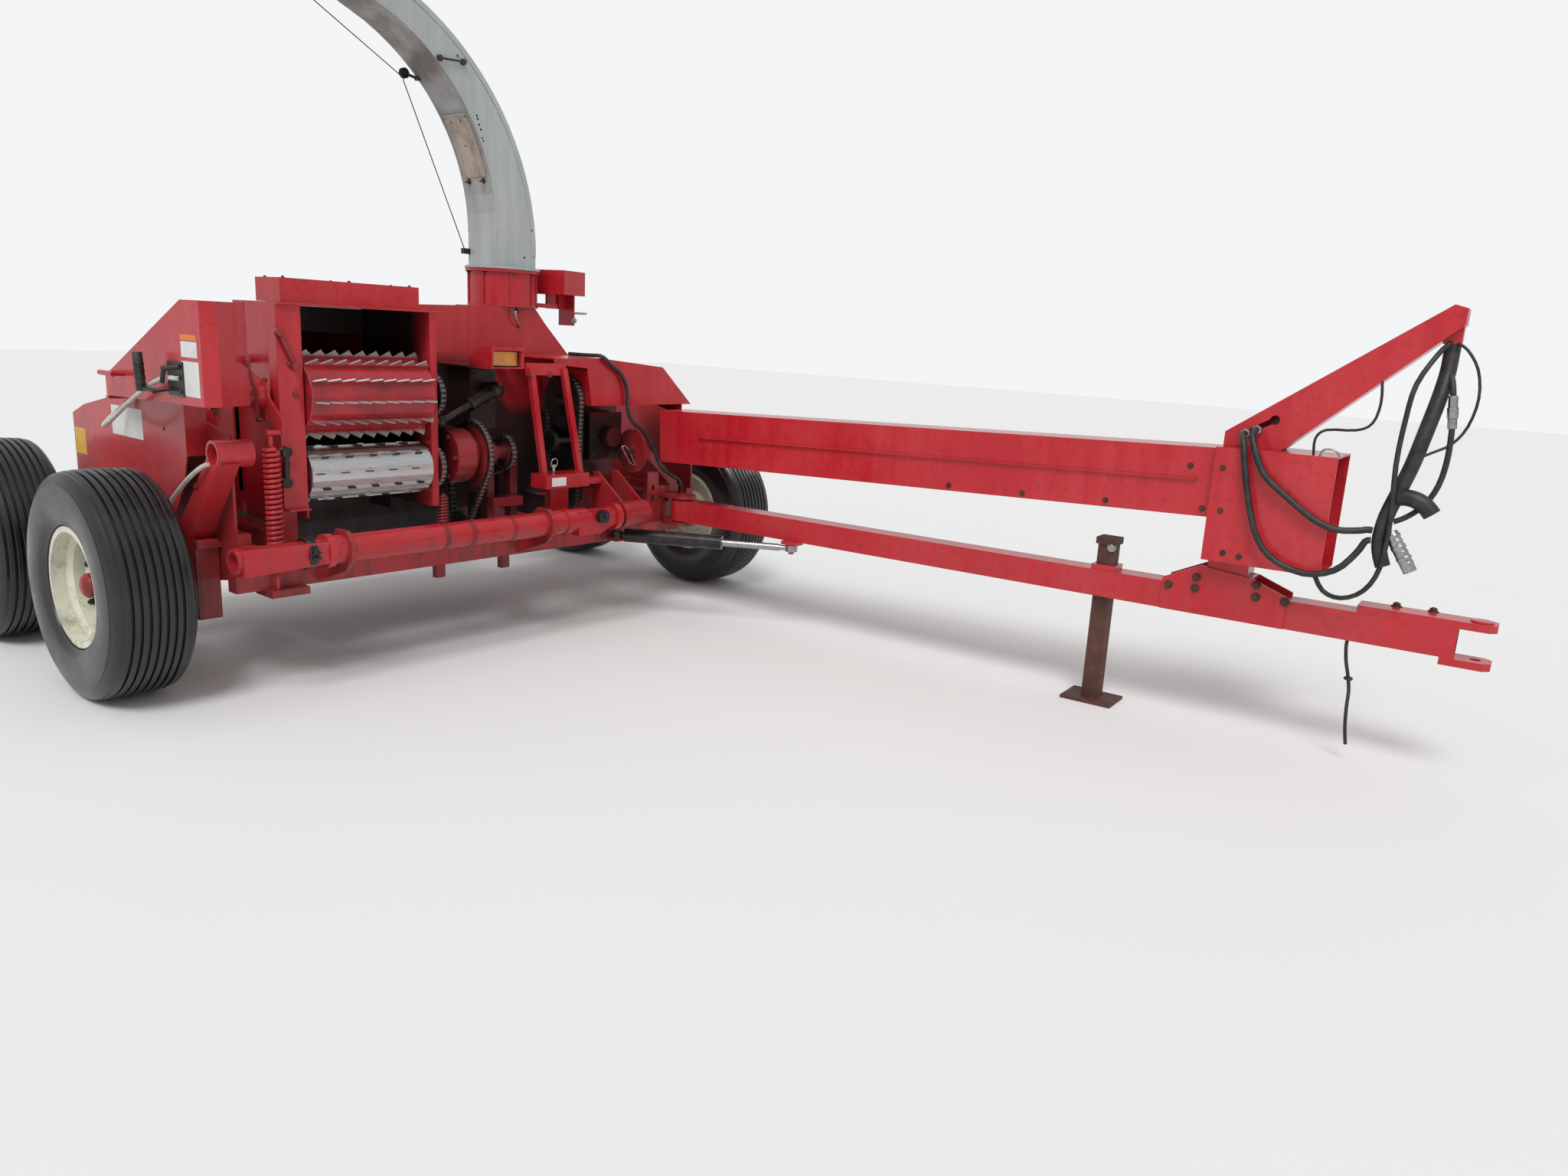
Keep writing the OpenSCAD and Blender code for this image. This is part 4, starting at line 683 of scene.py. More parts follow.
bpy.ops.mesh.primitive_torus_add(location=onTongue(3.020, -0.0445, 0.292), major_radius=0.009,
                                 minor_radius=0.006, major_segments=18, minor_segments=8)
knot = settle(named("cordKnot"))
dress(knot, "hose")
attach(knot, "tongue")
nuts["barCord"] = [knot]
for name, facts in hoseFacts.items():
    freeCord(name, facts, onTongue)

# The machine's own ropes and the drive hose: x, y, z in the machine's frame
ropeFacts = {
    "shieldRope": {"node": "white_rope", "body": "shield_door", "radius": 0.008, "finish": "rope",
                   "steps": 2, "route": [
        (0.775, -1.3124, 1.098), (0.775, -1.321, 1.0982), (0.766, -1.327, 1.0988), (0.742, -1.3285, 1.099),
        (0.700, -1.331, 1.093), (0.640, -1.333, 1.078), (0.540, -1.333, 1.043), (0.390, -1.333, 0.982),
        (0.250, -1.333, 0.918), (0.180, -1.330, 0.893), (0.138, -1.316, 0.892), (0.114, -1.292, 0.908),
        (0.118, -1.264, 0.936), (0.148, -1.248, 0.962), (0.184, -1.240, 0.986), (0.200, -1.228, 1.001),
        (0.216, -1.212, 1.006)]},
    "socketRope": {"node": "socket_rope", "body": "frame", "radius": 0.008, "finish": "rope", "route": [
        (0.772, -1.2351, 0.812), (0.772, -1.243, 0.812), (0.765, -1.248, 0.808), (0.748, -1.256, 0.797),
        (0.660, -1.257, 0.752), (0.560, -1.260, 0.685), (0.460, -1.262, 0.610), (0.405, -1.257, 0.567),
        (0.368, -1.230, 0.538), (0.346, -1.188, 0.518), (0.342, -1.1516, 0.515)]},
    "driveHose": {"node": "drive_hose", "body": "frame", "radius": 0.009, "finish": "hose",
                  "stiffness": "stiff", "steps": 2, "route": [
        (0.600, 0.468, 1.205), (0.700, 0.470, 1.2052), (0.760, 0.474, 1.206), (0.792, 0.484, 1.206),
        (0.810, 0.502, 1.191), (0.808, 0.545, 1.158), (0.807, 0.600, 1.124), (0.807, 0.634, 1.062),
        (0.807, 0.640, 0.990), (0.807, 0.655, 0.934), (0.806, 0.690, 0.899), (0.806, 0.718, 0.884),
        (0.806, 0.765, 0.846), (0.806, 0.818, 0.786), (0.804, 0.848, 0.720), (0.803, 0.884, 0.678),
        (0.802, 0.950, 0.640), (0.801, 1.004, 0.612), (0.800, 1.018, 0.578), (0.800, 1.018, 0.549)]},
}
for name, facts in ropeFacts.items():
    freeCord(name, facts, at)
print("ropes and hoses laid")


# Profiles drawn point by point and spun round an axis
def drawn(name, points):
    points = [Vector(p) for p in points]
    deselectAll()
    bpy.ops.mesh.primitive_plane_add(size=0.01, location=(0, 0, 0))
    piece = named(name)
    editAll()
    bpy.ops.mesh.merge(type="CENTER")
    bpy.ops.transform.translate(value=points[0])
    for here, there in zip(points, points[1:]):
        bpy.ops.mesh.extrude_region_move(TRANSFORM_OT_translate={"value": there - here})
    bpy.ops.object.mode_set(mode="OBJECT")
    return piece


def spun(name, points, steps, axis=(0, 1, 0), center=(0, 0, 0), angle=2 * math.pi, closed=True):
    piece = drawn(name, list(points) + ([points[0]] if closed else []))
    editAll()
    bpy.ops.mesh.spin(steps=steps, angle=angle, center=center, axis=axis)
    bpy.ops.mesh.select_all(action="SELECT")
    bpy.ops.mesh.remove_doubles(threshold=0.00002)
    if angle < 6.28:  # close the two ends of a part turn
        bpy.ops.mesh.select_all(action="DESELECT")
        bpy.ops.mesh.select_non_manifold()
        bpy.ops.mesh.fill()
    bpy.ops.object.mode_set(mode="OBJECT")
    return smooth(flipOutward(piece), 30)


def place(piece, body, finish, replaced=(), slotName=None):
    dress(piece, finish)
    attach(piece, body)
    if replaced:
        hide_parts(*replaced)
    return piece


def remove(piece):
    deselectAll()
    piece.select_set(True)
    bpy.ops.object.delete()


wheelFacts = {
    "track": 2.950,
    "base": 1.040,
    "axle": 0.3925,
}
wheels = []  # name, side and end of the machine, 1 for left and front
for sideName, side in (("right", -1), ("left", 1)):
    for endName, end in (("front", 1), ("rear", -1)):
        wheels.append((sideName + "_" + endName, side, end))

# Tyres: eight round ribs between grooves, a rounded shoulder and a bead ring
tyreFacts = {
    "radius": 0.3925,
    "halfWidth": 0.1395,
    "bead": 0.192,
    "ribs": 8,
    "treadHalf": 0.104,
    "groove": 0.0075,
    "depth": 0.011,
    "around": 96,
}


def makeTyrePattern(facts):
    r, w, b = facts["radius"], facts["halfWidth"], facts["bead"]
    side = [(w - 0.031, b), (w - 0.029, b + 0.0165), (w - 0.020, b + 0.020), (w - 0.017, b + 0.030),
            (w - 0.009, b + 0.044), (w - 0.004, b + 0.062), (w, b + 0.092), (w - 0.0005, r - 0.070),
            (w - 0.004, r - 0.046), (w - 0.006, r - 0.044), (w - 0.009, r - 0.034), (w - 0.018, r - 0.018),
            (w - 0.028, r - 0.0095)]
    crown = lambda y: r - 0.0062 * (y / facts["treadHalf"]) ** 2
    wide = 2 * facts["treadHalf"] / facts["ribs"]
    tread = []
    for i in range(facts["ribs"]):
        start = facts["treadHalf"] - i * wide
        stop, half = start - wide, facts["groove"] / 2
        tread += [(start - half, crown(start) - 0.003), (start - half - 0.003, crown(start)),
                  (stop + half + 0.003, crown(stop)), (stop + half, crown(stop) - 0.003)]
        if i < facts["ribs"] - 1:
            floor = crown(stop) - facts["depth"]
            tread += [(stop + half * 0.8, floor), (stop - half * 0.8, floor)]
    outer = side + tread + [(-y, z) for y, z in reversed(side)]
    inner = [(-w + 0.058, b), (-w + 0.020, r - 0.088), (-w + 0.060, r - 0.024), (w - 0.060, r - 0.024),
             (w - 0.020, r - 0.088), (w - 0.058, b)]
    return spun("tyrePattern", [(0, y, z) for y, z in outer + inner], facts["around"])


tyrePattern = makeTyrePattern(tyreFacts)
for wheel, side, end in wheels:
    spot = at(end * wheelFacts["base"] / 2, side * wheelFacts["track"] / 2, wheelFacts["axle"])
    tyre = copied(tyrePattern, Matrix.Translation(spot))
    tyre.name = "ribbedTyre_" + wheel
    place(tyre, "wheel_" + wheel, "tyre", ["tyre_" + wheel], "tyre")
remove(tyrePattern)
print("tyres on")


# Coil springs that hold the upper roll down
springFacts = {
    "right": {"place": (0.825, -1.045), "low": 0.420, "high": 0.870, "radius": 0.030, "wire": 0.0068,
              "coils": 24, "below": 0.0575, "above": 0.038, "finish": "red", "node": "roll_spring_right"},
    "left": {"place": (0.755, -0.318), "low": 0.478, "high": 0.640, "radius": 0.024, "wire": 0.0055,
             "coils": 12, "below": 0.0575, "above": 0.006, "finish": "darkRed", "node": "roll_spring_left"},
}


def makeSpring(name, facts):
    x, y = facts["place"]
    centre = at(x, y, facts["low"])
    wire, reach = facts["wire"], facts["radius"] - facts["wire"]
    pitch = (facts["high"] - facts["low"] - 2 * wire) / facts["coils"]
    deselectAll()
    bpy.ops.mesh.primitive_circle_add(vertices=10, radius=wire, location=(reach, 0, wire),
                                      rotation=(math.pi / 2, 0, 0))
    coil = settle(named(name + "Coil"))
    finishWith(coil, "SCREW", axis="Z", screw_offset=pitch, iterations=facts["coils"], steps=20,
               render_steps=20)
    pickOnly(coil)
    bpy.ops.object.mode_set(mode="EDIT")
    bpy.ops.mesh.select_all(action="DESELECT")
    bpy.ops.mesh.select_non_manifold()
    bpy.ops.mesh.edge_face_add()
    bpy.ops.mesh.select_all(action="SELECT")
    bpy.ops.transform.translate(value=centre)
    bpy.ops.object.mode_set(mode="OBJECT")
    flipOutward(coil)
    smooth(coil, 60)
    # hooked rods that leave the coil at both ends
    rods, bridges = [], []
    foot, head = facts["low"] + wire, facts["high"] - wire
    for start, stop in ((facts["low"] - facts["below"], foot), (head, facts["high"] + facts["above"])):
        rods.append(roundBar(name + "Rod", at(x, y, start), at(x, y, stop), 0.007, 16, 0.001))
    for z, way in ((foot, 1), (head, -1)):
        bend = [at(x + reach, y, z), at(x + reach * 0.5, y + 0.003, z - way * wire * 0.4),
                at(x, y, z - way * wire * 0.8)]
        bridges.append(rodAlong(name + "Eye", bend, wire * 0.95, facts["finish"]))
    pieces = [coil] + rods + bridges
    return place(joined(name, pieces), "frame", facts["finish"], [facts["node"]], "red_paint")


for sideName, facts in springFacts.items():
    makeSpring("coilSpring_" + sideName, facts)
print("springs on")


# Where a line, or the photo camera's view of a spot, first meets a CAD node
def firstHit(start, toward, nodes=None):
    best = None
    for name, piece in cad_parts.items():
        if not piece.visible_get() or (nodes and name not in nodes):  # a replaced node is hidden
            continue
        found, spot, normal, _ = piece.ray_cast(start, Vector(toward).normalized())
        if found and (best is None or (spot - start).length < (best[0] - start).length):
            best = (spot, normal)
    if best is None:
        raise ValueError("no node on that line")
    return best


def seenAt(x, y, nodes=None):  # x, y as on the 2048 x 1536 picture
    camera = bpy.context.scene.camera
    focal = cameraFacts["lens"] / cameraFacts["sensor"] * 2048
    toward = camera.matrix_world.to_3x3() @ Vector(((x - 1024) / focal, (768 - y) / focal, -1))
    return firstHit(camera.matrix_world.translation, toward, nodes)


# Hexagon bolts with washer and a stub of thread, and domed heads, copied onto their seats
def makeBoltPattern():
    deselectAll()
    bpy.ops.mesh.primitive_cylinder_add(vertices=6, radius=1.0, depth=0.7, location=(0, 0, 0.55))
    head = settle(named("boltHead"))
    editAll()
    bpy.ops.mesh.bevel(offset=0.07, segments=1)
    bpy.ops.object.mode_set(mode="OBJECT")
    washer = roundBar("boltWasher", (0, 0, -0.1), (0, 0, 0.2), 1.35, 14, 0.05)
    thread = roundBar("boltThread", (0, 0, 0.8), (0, 0, 1.15), 0.5, 10, 0.08)
    return joined("boltPattern", [head, washer, thread])


def makeRivetPattern():
    deselectAll()
    bpy.ops.mesh.primitive_uv_sphere_add(segments=14, ring_count=8, radius=1.0, location=(0, 0, 0))
    head = settle(named("domeHead"))
    editAll()
    bpy.ops.mesh.bisect(plane_co=(0, 0, -0.15), plane_no=(0, 0, 1), clear_inner=True, use_fill=True)
    bpy.ops.mesh.select_all(action="SELECT")
    bpy.ops.transform.resize(value=(1, 1, 0.5))
    bpy.ops.object.mode_set(mode="OBJECT")
    return smooth(head, 40)


boltPattern, rivetPattern = makeBoltPattern(), makeRivetPattern()
patterns = [boltPattern, rivetPattern]


def boltsOn(name, body, finish, seats, size, pattern=boltPattern):  # seats: (place, normal) pairs
    pieces = []
    for spot, normal in seats:
        matrix = Matrix.Translation(spot) @ turnTo(normal) @ Matrix.Scale(size, 4)
        pieces.append(copied(pattern, matrix))
    place(joined(name, pieces), body, finish)


# Bolts where the photograph shows them: body, size, domed or not, and their spots on the picture
boltFacts = {
    "shieldBolts": {"body": "shield_door", "size": 0.0045, "dome": True, "spots": [
        (284.7, 395.8), (317.5, 395.8)]},
    "armBolts": {"body": "frame", "size": 0.0095, "spots": [
        (378, 475), (386, 515), (345, 497), (337, 547), (377, 607), (257, 635)]},
    "ladderBolts": {"body": "frame", "size": 0.0100, "spots": [(692, 490), (718, 489)]},
    "frameBolts": {"body": "frame", "size": 0.0100, "spots": [(856, 652), (871, 652), (619, 513)]},
    "shieldEdgeBolts": {"body": "tongue", "finish": "rusty", "size": 0.0085, "spots": [
        (1239, 634), (1335, 644), (1444, 653), (1570, 664), (1555, 608)]},
    "boxBolts": {"body": "tongue", "finish": "rusty", "size": 0.0080, "spots": [
        (1597, 611), (1594, 667), (1597, 722), (1618, 727)]},
    "saddleBolts": {"body": "tongue", "finish": "rusty", "size": 0.0120, "spots": [
        (1526, 763), (1563, 754), (1561, 768), (1641, 764), (1640, 780), (1678, 786)]},
    "clevisBolts": {"body": "tongue", "finish": "rusty", "size": 0.0130, "spots": [
        (1824, 792), (1872, 799)]},
}
for name, facts in boltFacts.items():
    seats = [seenAt(*spot) for spot in facts["spots"]]
    boltsOn(name, facts["body"], facts.get("finish", "darkRed"), seats, facts["size"],
            rivetPattern if facts.get("dome") else boltPattern)
print("bolts seated")


# Roller chains: link plates, pins and rollers over the part's own chain loops
chainFacts = {
    "pitch": 0.01905,
    "plate": (0.0088, 0.0014),  # half height and thickness
    "inner": 0.0088,  # distance of the plates from the chain's middle
    "outer": 0.0105,
    "roller": (0.0092, 0.0076),  # half length and radius
    "pin": (0.0128, 0.0031),
    "loops": {  # x, z, radius of each sprocket, then the chain's y
        "feedChain": ((0.695, 1.035, 0.080), (0.470, 1.000, 0.044), -0.322),
        "clutchChain": ((0.680, 0.785, 0.140), (0.600, 0.480, 0.052), -0.128),
        "gearboxChain": ((0.680, 0.785, 0.066), (0.520, 0.700, 0.044), 0.044),
        "lowerRollChain": ((0.708, 0.752, 0.082), (0.500, 0.640, 0.044), -0.334),
        "tallChain": ((0.660, 0.995, 0.118), (0.660, 0.560, 0.096), 0.385),
    },
}


def chainSpots(first, second):  # roller centres round a loop of two sprockets
    (x, z, big), (farX, farZ, small) = first, second
    reach, turn = math.hypot(farX - x, farZ - z), math.atan2(farZ - z, farX - x)
    wrap = math.acos((big - small) / reach)
    free, back, front = reach * math.sin(wrap), big * 2 * (math.pi - wrap), small * 2 * wrap
    total = back + front + 2 * free
    count = 2 * round(total / chainFacts["pitch"] / 2)
    spots = []
    for i in range(count):
        s = (i + 0.5) / count * total
        if s < back:
            u, v = big * math.cos(wrap + s / big), big * math.sin(wrap + s / big)
        elif s < back + free:
            u = big * math.cos(wrap) + (s - back) * math.sin(wrap)
            v = -big * math.sin(wrap) + (s - back) * math.cos(wrap)
        elif s < back + free + front:
            angle = (s - back - free) / small - wrap
            u, v = reach + small * math.cos(angle), small * math.sin(angle)
        else:
            run = s - back - free - front
            u = reach + small * math.cos(wrap) - run * math.sin(wrap)
            v = small * math.sin(wrap) + run * math.cos(wrap)
        c, s = math.cos(turn), math.sin(turn)
        spots.append((x + u * c - v * s, z + u * s + v * c))
    return spots


def makePlates(away):  # one link's two plates, long in x, its middle at the origin
    half, thick = chainFacts["plate"]
    plates = []
    for side in (-1, 1):
        plate = roundBar("linkPlate", (0, side * away, 0), (0, side * (away + thick), 0), half, 8)
        deselectAll()
        plate.select_set(True)
        longer = (chainFacts["pitch"] / 2 + half) / half
        bpy.ops.transform.resize(value=(longer, 1, 1), center_override=(0, 0, 0))
        plates.append(settle(plate))
    return joined("linkPlates", plates)


platePatterns = [makePlates(chainFacts["inner"]), makePlates(chainFacts["outer"])]
rollerPattern = joined("rollerPattern", [
    roundBar(name, (0, -chainFacts[name][0], 0), (0, chainFacts[name][0], 0), chainFacts[name][1], sides)
    for name, sides in (("roller", 10), ("pin", 6))])
patterns += platePatterns + [rollerPattern]

for name, (first, second, side) in chainFacts["loops"].items():
    spots = chainSpots(first, second)
    plates, rollers = [], []
    for i, (x, z) in enumerate(spots):
        nextX, nextZ = spots[(i + 1) % len(spots)]
        turn = Matrix.Rotation(-math.atan2(nextZ - z, nextX - x), 4, "Y")
        middle = Matrix.Translation(at((x + nextX) / 2, side, (z + nextZ) / 2))
        plates.append(copied(platePatterns[i % 2], middle @ turn))
        rollers.append(copied(rollerPattern, Matrix.Translation(at(x, side, z))))
    place(joined(name + "Plates", plates), "frame", "chain")
    place(joined(name + "Rollers", rollers), "frame", "pin")
print("chains on")


# Wheel centres: a dished disc with a red dome cap, six lug nuts on studs and a valve
hubFacts = {
    "face": 1.400,  # y of the part's own disc, which stands behind this dished centre
    "centre": ((0.016, 0.164), (0.030, 0.150), (0.062, 0.130), (0.106, 0.113), (0.114, 0.104),
               (0.114, 0.044), (0.107, 0.044), (0.107, 0.100), (0.100, 0.108), (0.056, 0.125),
               (0.024, 0.146), (0.011, 0.160)),  # off the face, radius
    "cap": ((0.112, 0.0465), (0.128, 0.0465), (0.131, 0.0425), (0.146, 0.0425), (0.151, 0.0395),
            (0.160, 0.0300), (0.1655, 0.0160), (0.1670, 0.0), (0.112, 0.0)),
    "nutCircle": 0.076,
    "nut": (0.0115, 0.0115, 0.0200),
    "valve": (0.152, 62, 0.022, 0.052),  # radius of its circle, degrees, root and tip from the face
}


def makeHub(name, body, side, end, facts):
    middle = end * wheelFacts["base"] / 2

    def outward(across, up, off):  # a spot off the wheel's face
        return at(middle + across, side * (facts["face"] + off), wheelFacts["axle"] + up)

    for part, finish in (("centre", "cream"), ("cap", "frameRed")):
        piece = spun(name + part.title(), [(0, side * u, r) for u, r in facts[part]], 48)
        piece.data.transform(Matrix.Translation(outward(0, 0, 0)))
        place(piece, body, finish)
    nuts = []
    for turn in (math.radians(i * 60) for i in range(6)):
        spot = outward(facts["nutCircle"] * math.cos(turn), facts["nutCircle"] * math.sin(turn), 0.113)
        size = Matrix.Diagonal((*facts["nut"], 1))
        nuts.append(copied(boltPattern, Matrix.Translation(spot) @ turnTo((0, side, 0)) @ size))
    place(joined(name + "Nuts", nuts), body, "greasy")
    radius, degrees, root, tip = facts["valve"]
    across, up = radius * math.cos(math.radians(degrees)), radius * math.sin(math.radians(degrees))
    valve = roundBar(name + "Valve", outward(across, up, root), outward(across, up, tip), 0.0055, 12, 0.001)
    place(valve, body, "hose")


for wheel, side, end in wheels:
    makeHub("hub_" + wheel, "wheel_" + wheel, side, end, hubFacts)
print("hubs on")


# Ways to seat bolts: on known spots, on a ring, or cast onto a node from outside
ahead, upward, rightward = Vector((1, 0, 0)), Vector((0, 0, 1)), Vector((0, -1, 0))


def facing(way, spots):
    return [(at(*spot), way) for spot in spots]


def ringOf(radius):  # eight spots round a flange
    turns = [math.radians(22.5 + i * 45) for i in range(8)]
    return [(radius * math.cos(turn), radius * math.sin(turn)) for turn in turns]


def castOn(name, finish, size, node, way, starts):
    boltsOn(name, "frame", finish, [firstHit(at(*start), way, (node,)) for start in starts], size)


# Spout trim: flange seams, link rod, door latch and wing nuts, cable pulley, ring bolts
spoutFacts = {
    "near": 0.3925,  # x of its two side sheets
    "far": 0.1875,
    "outer": (-0.610, 1.627, 1.050, 68),  # y, z, radius and end angle of the back's bend
    "inner": (-0.625, 1.717, 0.850, 64),
    "seam": 0.0022,
    "cable": 0.0022,
    "neck": (0.290, 0.335),  # x and y of the axis it turns on
    "wings": (0.238, 0.342),  # x of the door's wing nuts
    "wingTurn": 14.4,  # degrees round the inner bend, just below the door
}


def onInner(x, degrees, off=0.0):  # a spot on the spout's hollow face, off is away from the sheet
    y, z, radius, _ = spoutFacts["inner"]
    turn = math.radians(degrees)
    return at(x, y + (radius - off) * math.cos(turn), z + (radius - off) * math.sin(turn))


def innerWay(degrees):  # the way that face looks
    return -Vector((0, math.cos(math.radians(degrees)), math.sin(math.radians(degrees))))


def makeSeam(name, bend, x, inside, outside):  # a folded edge along one of the spout's bends
    y, z, radius, end = bend
    thick = spoutFacts["seam"] * (1 if x > 0.3 else -1)
    low, high = radius - inside, radius + outside
    profile = [at(x - thick * 0.3, y + r, z) for r in (low, high)]
    profile += [at(x + thick, y + r, z) for r in (high - 0.001, low + 0.001)]
    return spun(name, profile, 40, axis=(-1, 0, 0), center=at(x, y, z), angle=math.radians(end))


for bend, inside, outside in (("outer", 0.022, 0.002), ("inner", 0.001, 0.012)):
    for sheet in ("near", "far"):
        seam = makeSeam(bend + "Seam" + sheet.title(), spoutFacts[bend], spoutFacts[sheet], inside, outside)
        place(seam, "spout", "grey")

foot = spun("spoutFoot", [(0, r, z) for r, z in (
    (0.1660, 1.5610), (0.1680, 1.5620), (0.1680, 1.5670), (0.1660, 1.5680), (0.1300, 1.5680),
    (0.1300, 1.5610))], 64, axis=(0, 0, 1))
foot.data.transform(Matrix.Translation(at(*spoutFacts["neck"], 0)))
place(foot, "spout", "grey")

near = spoutFacts["near"]
rodEnds = [at(near, -0.054, 2.366), at(near, 0.059, 2.374)]
lift = ahead * 0.010
pieces = [roundBar("linkRod", rodEnds[0] + lift, rodEnds[1] + lift, 0.004, 12)]
pieces += [roundBar("linkBoss", spot - lift * 0.1, spot + lift * 1.6, 0.0125, 20, 0.002)
           for spot in rodEnds]
place(joined("spoutLinkRod", pieces), "spout", "greasy")
boltsOn("linkRodBolts", "spout", "greasy", [(spot + lift * 1.5, ahead) for spot in rodEnds], 0.0075)
boltsOn("spoutSideBolts", "spout", "greasy", facing(ahead, [
    (near, 0.036, 2.394), (near, 0.418, 1.742), (near, 0.376, 1.620)]), 0.005, rivetPattern)

# dark rubber discs stand for the adjusting holes: painted shade inside the holes
holes = [roundBar("adjustHole", at(near - 0.001, y, z), at(near + 0.0006, y, z), 0.0048, 14) for y, z in (
    (0.128, 2.178), (0.132, 2.166), (0.140, 2.144), (0.148, 2.126), (0.154, 2.092), (0.159, 2.081))]
place(joined("adjustHoles", holes), "spout", "hose")


# Wing nut: a boss with two upright ears
def makeWingPattern():
    boss = roundBar("wingBoss", (0, 0, 0), (0, 0, 0.011), 0.0065, 14, 0.001)
    ears = []
    for side in (-1, 1):
        root = side * 0.011
        ear = barBlock("wingEar", (root - 0.0075, -0.0013, 0.004), (root + 0.0075, 0.0013, 0.019), 0.001)
        pickOnly(ear)
        bpy.ops.transform.rotate(value=side * math.radians(24), orient_axis="Y",
                                 center_override=(0, 0, 0.006))
        ears.append(settle(ear))
    stud = roundBar("wingStud", (0, 0, -0.002), (0, 0, 0.020), 0.0035, 12, 0.0005)
    return joined("wingPattern", [boss, stud] + ears)


wingPattern = makeWingPattern()
patterns.append(wingPattern)
turn = spoutFacts["wingTurn"]
seats = [(onInner(x, turn), innerWay(turn)) for x in spoutFacts["wings"]]
boltsOn("doorWingNuts", "spout", "rusty", seats, 1.0, wingPattern)
pads = [roundBar("wingPad", onInner(x, turn, -0.001), onInner(x, turn, 0.003), 0.013, 18, 0.0006)
        for x in spoutFacts["wings"]]
place(joined("wingPads", pads), "spout", "rusty")
seats = [(onInner(x, turn, 0.0035), innerWay(turn))
         for x, turn in ((0.250, 31.2), (0.318, 31.2), (0.286, 24.4))]
boltsOn("doorRivets", "inspection_door", "rusty", seats, 0.0042, rivetPattern)

# Pulley on the far edge of the hollow face, and the cable that tips the deflector
far = spoutFacts["far"] + 0.004
hub, root = at(far, -0.086, 2.322), onInner(far, 44.5)
pulley = [roundBar("pulleyStrap", hub + ahead * off, root + ahead * off, 0.0035, 10)
          for off in (-0.009, 0.009)]
pulley.append(roundBar("pulleyAxle", hub - ahead * 0.013, hub + ahead * 0.013, 0.006, 14))
sheave = spun("pulleySheave", [(x, r, 0) for x, r in (
    (-0.007, 0.004), (-0.007, 0.021), (-0.003, 0.0165), (0.003, 0.0165), (0.007, 0.021),
    (0.007, 0.004))], 32, axis=(1, 0, 0))
sheave.data.transform(Matrix.Translation(hub))
lug = barBlock("pulleyLug", root + Vector((-0.012, -0.012, -0.008)), root + Vector((0.012, 0.008, 0.010)))
place(joined("cablePulley", pulley + [sheave, lug]), "spout", "greasy")

tip, foot = at(far, -0.826, 2.695), at(far, 0.204, 1.634)
bow = hub + Vector((0, -0.010, -0.016))
cable = [tip.lerp(bow, t) for t in (0, 0.25, 0.5, 0.75, 1)] + [bow + Vector((0, 0.006, -0.006))]
cable += [bow.lerp(foot, t) for t in (0.02, 0.25, 0.5, 0.75, 1)]
place(rodAlong("deflectorCable", cable, spoutFacts["cable"], "greasy", 2), "spout", "greasy")
for name, spot, reach in (("cableLugTop", tip + Vector((0, 0, 0.014)), (0.008, 0.010, 0.024)),
                          ("cableLugLow", foot + Vector((0, 0.014, 0)), (0.010, 0.030, 0.012))):
    place(barBlock(name, spot - Vector(reach), spot + Vector(reach)), "spout", "greasy")

neckX, neckY = spoutFacts["neck"]
castOn("neckRingBolts", "greasy", 0.0070, "spout_neck", upward, [
    (neckX + u, neckY + v, 1.500) for u, v in ringOf(0.1575)])
print("spout trimmed")


# Blank labels: thin plates on the sheets that carry them
labelFacts = {  # finish, body, low and high corner in the machine's frame
    "shieldStripe": ("orangeLabel", "shield_door", (0.786, -1.3056, 1.2225), (0.899, -1.3046, 1.2400)),
    "shieldLabelUpper": ("whiteLabel", "shield_door", (0.788, -1.3056, 1.1680), (0.902, -1.3046, 1.2185)),
    "shieldLabelLower": ("whiteLabel", "shield_door", (0.784, -1.3056, 1.0430), (0.908, -1.3046, 1.1560)),
    "panelLabel": ("whiteLabel", "frame", (-0.032, -1.2267, 0.8420), (0.242, -1.2257, 0.9520)),
    "panelPatch": ("yellowLabel", "frame", (-0.412, -1.2267, 0.7300), (-0.306, -1.2257, 0.8340)),
    "ladderBaseLabel": ("whiteLabel", "frame", (0.8695, 0.150, 0.650), (0.8706, 0.228, 0.688)),
}
for name, (finish, body, low, high) in labelFacts.items():
    place(barBlock(name, at(*low), at(*high), 0.0003), body, finish)

# The black sleeve on the shield's lever, with four rings, and the bolts of the lever's plate
grip = [roundBar("leverSleeve", at(0.6005, -1.360, 1.046), at(0.5875, -1.360, 1.173), 0.0155, 24, 0.004)]
grip += [roundBar("leverRing", at(x, -1.360, z), at(x - 0.0008, -1.360, z + 0.006), 0.0168, 24, 0.001)
         for x, z in ((0.5985, 1.066), (0.5962, 1.088), (0.5940, 1.110), (0.5918, 1.132))]
place(joined("leverGrip", grip), "shield_door", "hose")
boltsOn("leverPlateBolts", "shield_door", "greasy", facing(rightward, [
    (0.704, -1.3108, 1.138), (0.786, -1.3108, 1.056), (0.786, -1.3108, 1.100)]), 0.0065)

# Flanged bearings at the right ends of the two rolls
bearingFacts = {
    "ear": 0.04464,  # from the shaft to the middle of each ear
    "earRise": 0.018,
    "house": 0.040,
    "thick": 0.010,
    "spots": {"upperRight": (0.695, -1.042, 1.035), "lowerRight": (0.708, -0.903, 0.752)},
}


